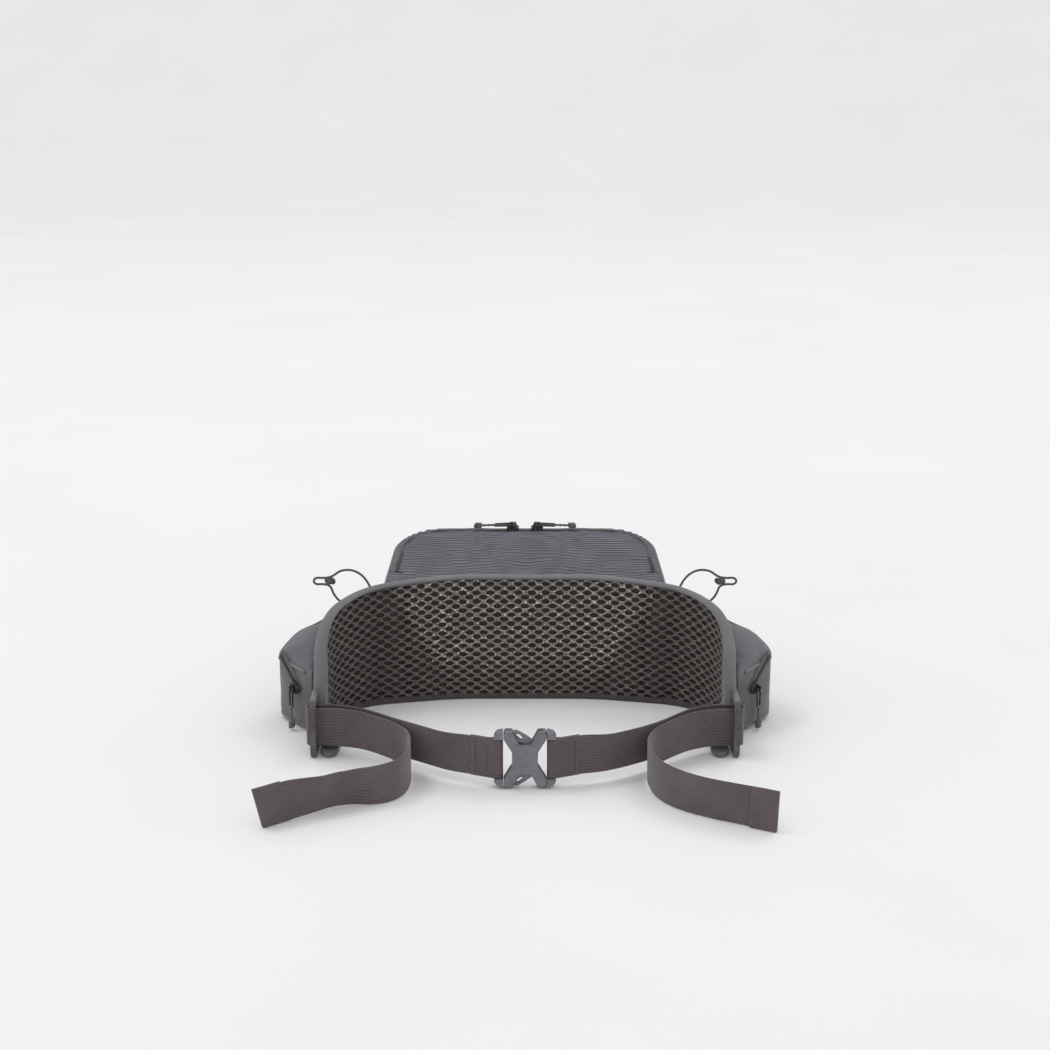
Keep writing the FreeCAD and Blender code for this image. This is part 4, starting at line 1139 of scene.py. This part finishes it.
def make_wing_tip(side_name, side):
    """The rounded, bound tip of the wing that lies below the ladder lock."""
    rows = []
    for k in range(15):
        angle = math.pi * k / 14
        height = 2.3 * MM - 2.1 * MM * math.cos(angle)
        shrink = 1 - 0.16 * (1 - math.sin(angle))
        row = []
        for j in range(48):
            t = math.tau * j / 48
            c, s = math.cos(t), math.sin(t)
            x = 7.4 * MM * math.copysign(abs(c) ** 0.6, c) * shrink
            y = 18 * MM * math.copysign(abs(s) ** 0.62, s) * (1 - 0.06 * (1 - math.sin(angle)))
            taper = 1 - 0.25 * eased(-y, 0.004, 0.018)
            ripple = 0.25 * MM * noise.noise(Vector((x * 200, y * 200, k * 0.3)))
            row.append(Vector((side * 0.158 + x * taper, -0.0325 + y, max(height + ripple + 1.0 * MM * valley(y - 0.012, 0.01), 0.1 * MM))))
        rows.append(row)
    tip = grid_object(f"wing_tip_{side_name}", rows, wrap_columns=True, caps=True)
    settle(tip, "pack", "binding", [f"wing_tab_{side_name}"])


def make_lock_loop(side_name, side):
    """Webbing folded round the lock's rear bar and sewn into the end of the wing."""
    centre = Vector((side * 0.170, -0.0195, 0))
    plan = [(2.4, 6.4), (2.9, 4.6), (4.0, 2.4)]
    plan += [(4.75 * math.cos(a), 4.75 * math.sin(a)) for a in [math.radians(-20 * k) for k in range(1, 9)]]
    plan += [(-4.0, 2.4), (-2.9, 4.6), (-2.4, 6.4)]
    rows = []
    for level in [0, 0.4, 1.2] + [2.5 + 2.0 * k for k in range(14)] + [29.9, 30.7, 31]:
        rim = min(level, 31 - level)
        shrink = 1 - 0.12 * max(1 - rim / 1.0, 0) ** 2
        rows.append([centre + Vector((a * shrink * MM, b * shrink * MM, (WEB_LOW + 0.5 + level) * MM)) for a, b in plan])
    loop = grid_object(f"lock_loop_folded_{side_name}", rows, wrap_columns=True, caps=True)
    turn_grain(loop)
    settle(loop, "pack", "webbing", [f"lock_loop_{side_name}"])


for side_name, side in SIDES.items():
    make_wing_tip(side_name, side)
    make_lock_loop(side_name, side)


# ---------------------------------------------------------------- zip pulls

def make_pull(name, body, start, along, level):
    """Two twisted strands from the wire tab to a tied knot."""
    length, strand = 11 * MM, 0.75 * MM
    level = level.normalized()
    third = along.cross(level)
    strands = []
    for phase in (0, math.pi):
        line = []
        for k in range(45):
            t = k / 44
            open_up = 0.35 + 0.65 * math.sin(math.pi * min(t * 1.15, 1)) if t < 0.5 else 1.0
            angle = phase + t * 3.2 * math.pi
            reach = strand * 0.62 * open_up
            line.append(start + along * (t * (length + 1.5 * MM) - 1.2 * MM) + (level * math.cos(angle) + third * math.sin(angle)) * reach)
        strands.append(sweep(f"{name}_strand", line, ring(strand, 8), side_of=lambda index, tangent: tangent.cross(level).normalized()))
    cord = joined(f"{name}_twist", strands)
    settle(cord, body, "pull_cord", [f"{name}_cord"])
    knot = knot_object(f"{name}_tied", start + along * (length + 3.7 * MM), along, 8.0 * MM, 5.6 * MM)
    settle(knot, body, "pull_cord", [f"{name}_knot"])


for side_name, side in SIDES.items():
    droop = math.radians(2)
    outward = Vector((side * math.cos(droop), 0, 0))
    slope = Vector((0, LID_NORMAL.z, -LID_NORMAL.y))
    pivot = Vector((side * 0.011, 0.19018, 0.132737))
    along = (Vector((side, 0, 0)) * math.cos(droop) - LID_NORMAL * math.sin(droop)).normalized()
    make_pull(f"main_pull_{side_name}", f"main_pull_{side_name}", pivot + along * 17 * MM, along, slope)
    pivot = Vector((side * 0.195229, 0.013624, 0.036936))
    make_pull(f"pocket_pull_{side_name}", f"pocket_pull_{side_name}", pivot - UP * 17 * MM, -UP, Vector((0.6306, side * 0.7761, 0)))


# ---------------------------------------------------------------- moulded and metal parts

def dress(nodes, material, bevel, segments=3):
    for node in nodes:
        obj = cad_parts[node]
        if not obj.material_slots:
            obj.data.materials.append(MATERIALS[material])
        for place in obj.material_slots:
            place.link = "OBJECT"
            place.material = MATERIALS[material]
        soft = obj.modifiers.new("worn_edges", "BEVEL")
        soft.width = bevel
        soft.segments = segments
        soft.limit_method = "ANGLE"
        soft.angle_limit = math.radians(40)
        soft.harden_normals = True


dress([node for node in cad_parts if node.startswith("buckle_")], "buckle_plastic", 0.7 * MM)
dress(["ladder_lock_left", "ladder_lock_right"], "lock_plastic", 0.8 * MM)
dress([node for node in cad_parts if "slider" in node], "slider_metal", 0.3 * MM)
dress([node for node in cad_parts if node.endswith("_tab") and "pull" in node], "slider_metal", 0.35 * MM)


# ---------------------------------------------------------------- floor

def make_floor():
    """A pale sweep: flat under the pack, then curving up far behind it."""
    rows = []
    for y in [-8, -4, -2, 0, 2, 4, 5] + [5 + 3 * math.sin(math.radians(a)) for a in range(10, 91, 10)] + [8]:
        rise = 3 - math.sqrt(max(9 - max(y - 5, 0) ** 2, 0)) if y < 8 else 3
        rows.append([Vector((x, y, rise - 0.3 * MM)) for x in range(-9, 10, 3)])
    rows[-1] = [Vector((x, 8, 9)) for x in range(-9, 10, 3)]
    floor = grid_object("floor", rows)
    shader = Shader("floor", 0.95)
    shader.colour(shader.noise(3), (0.3, "#efeff1"), (0.7, "#f2f2f4"))
    floor.data.materials.append(shader.bump(shader.noise(200, 2), 0.02 * MM))


make_floor()
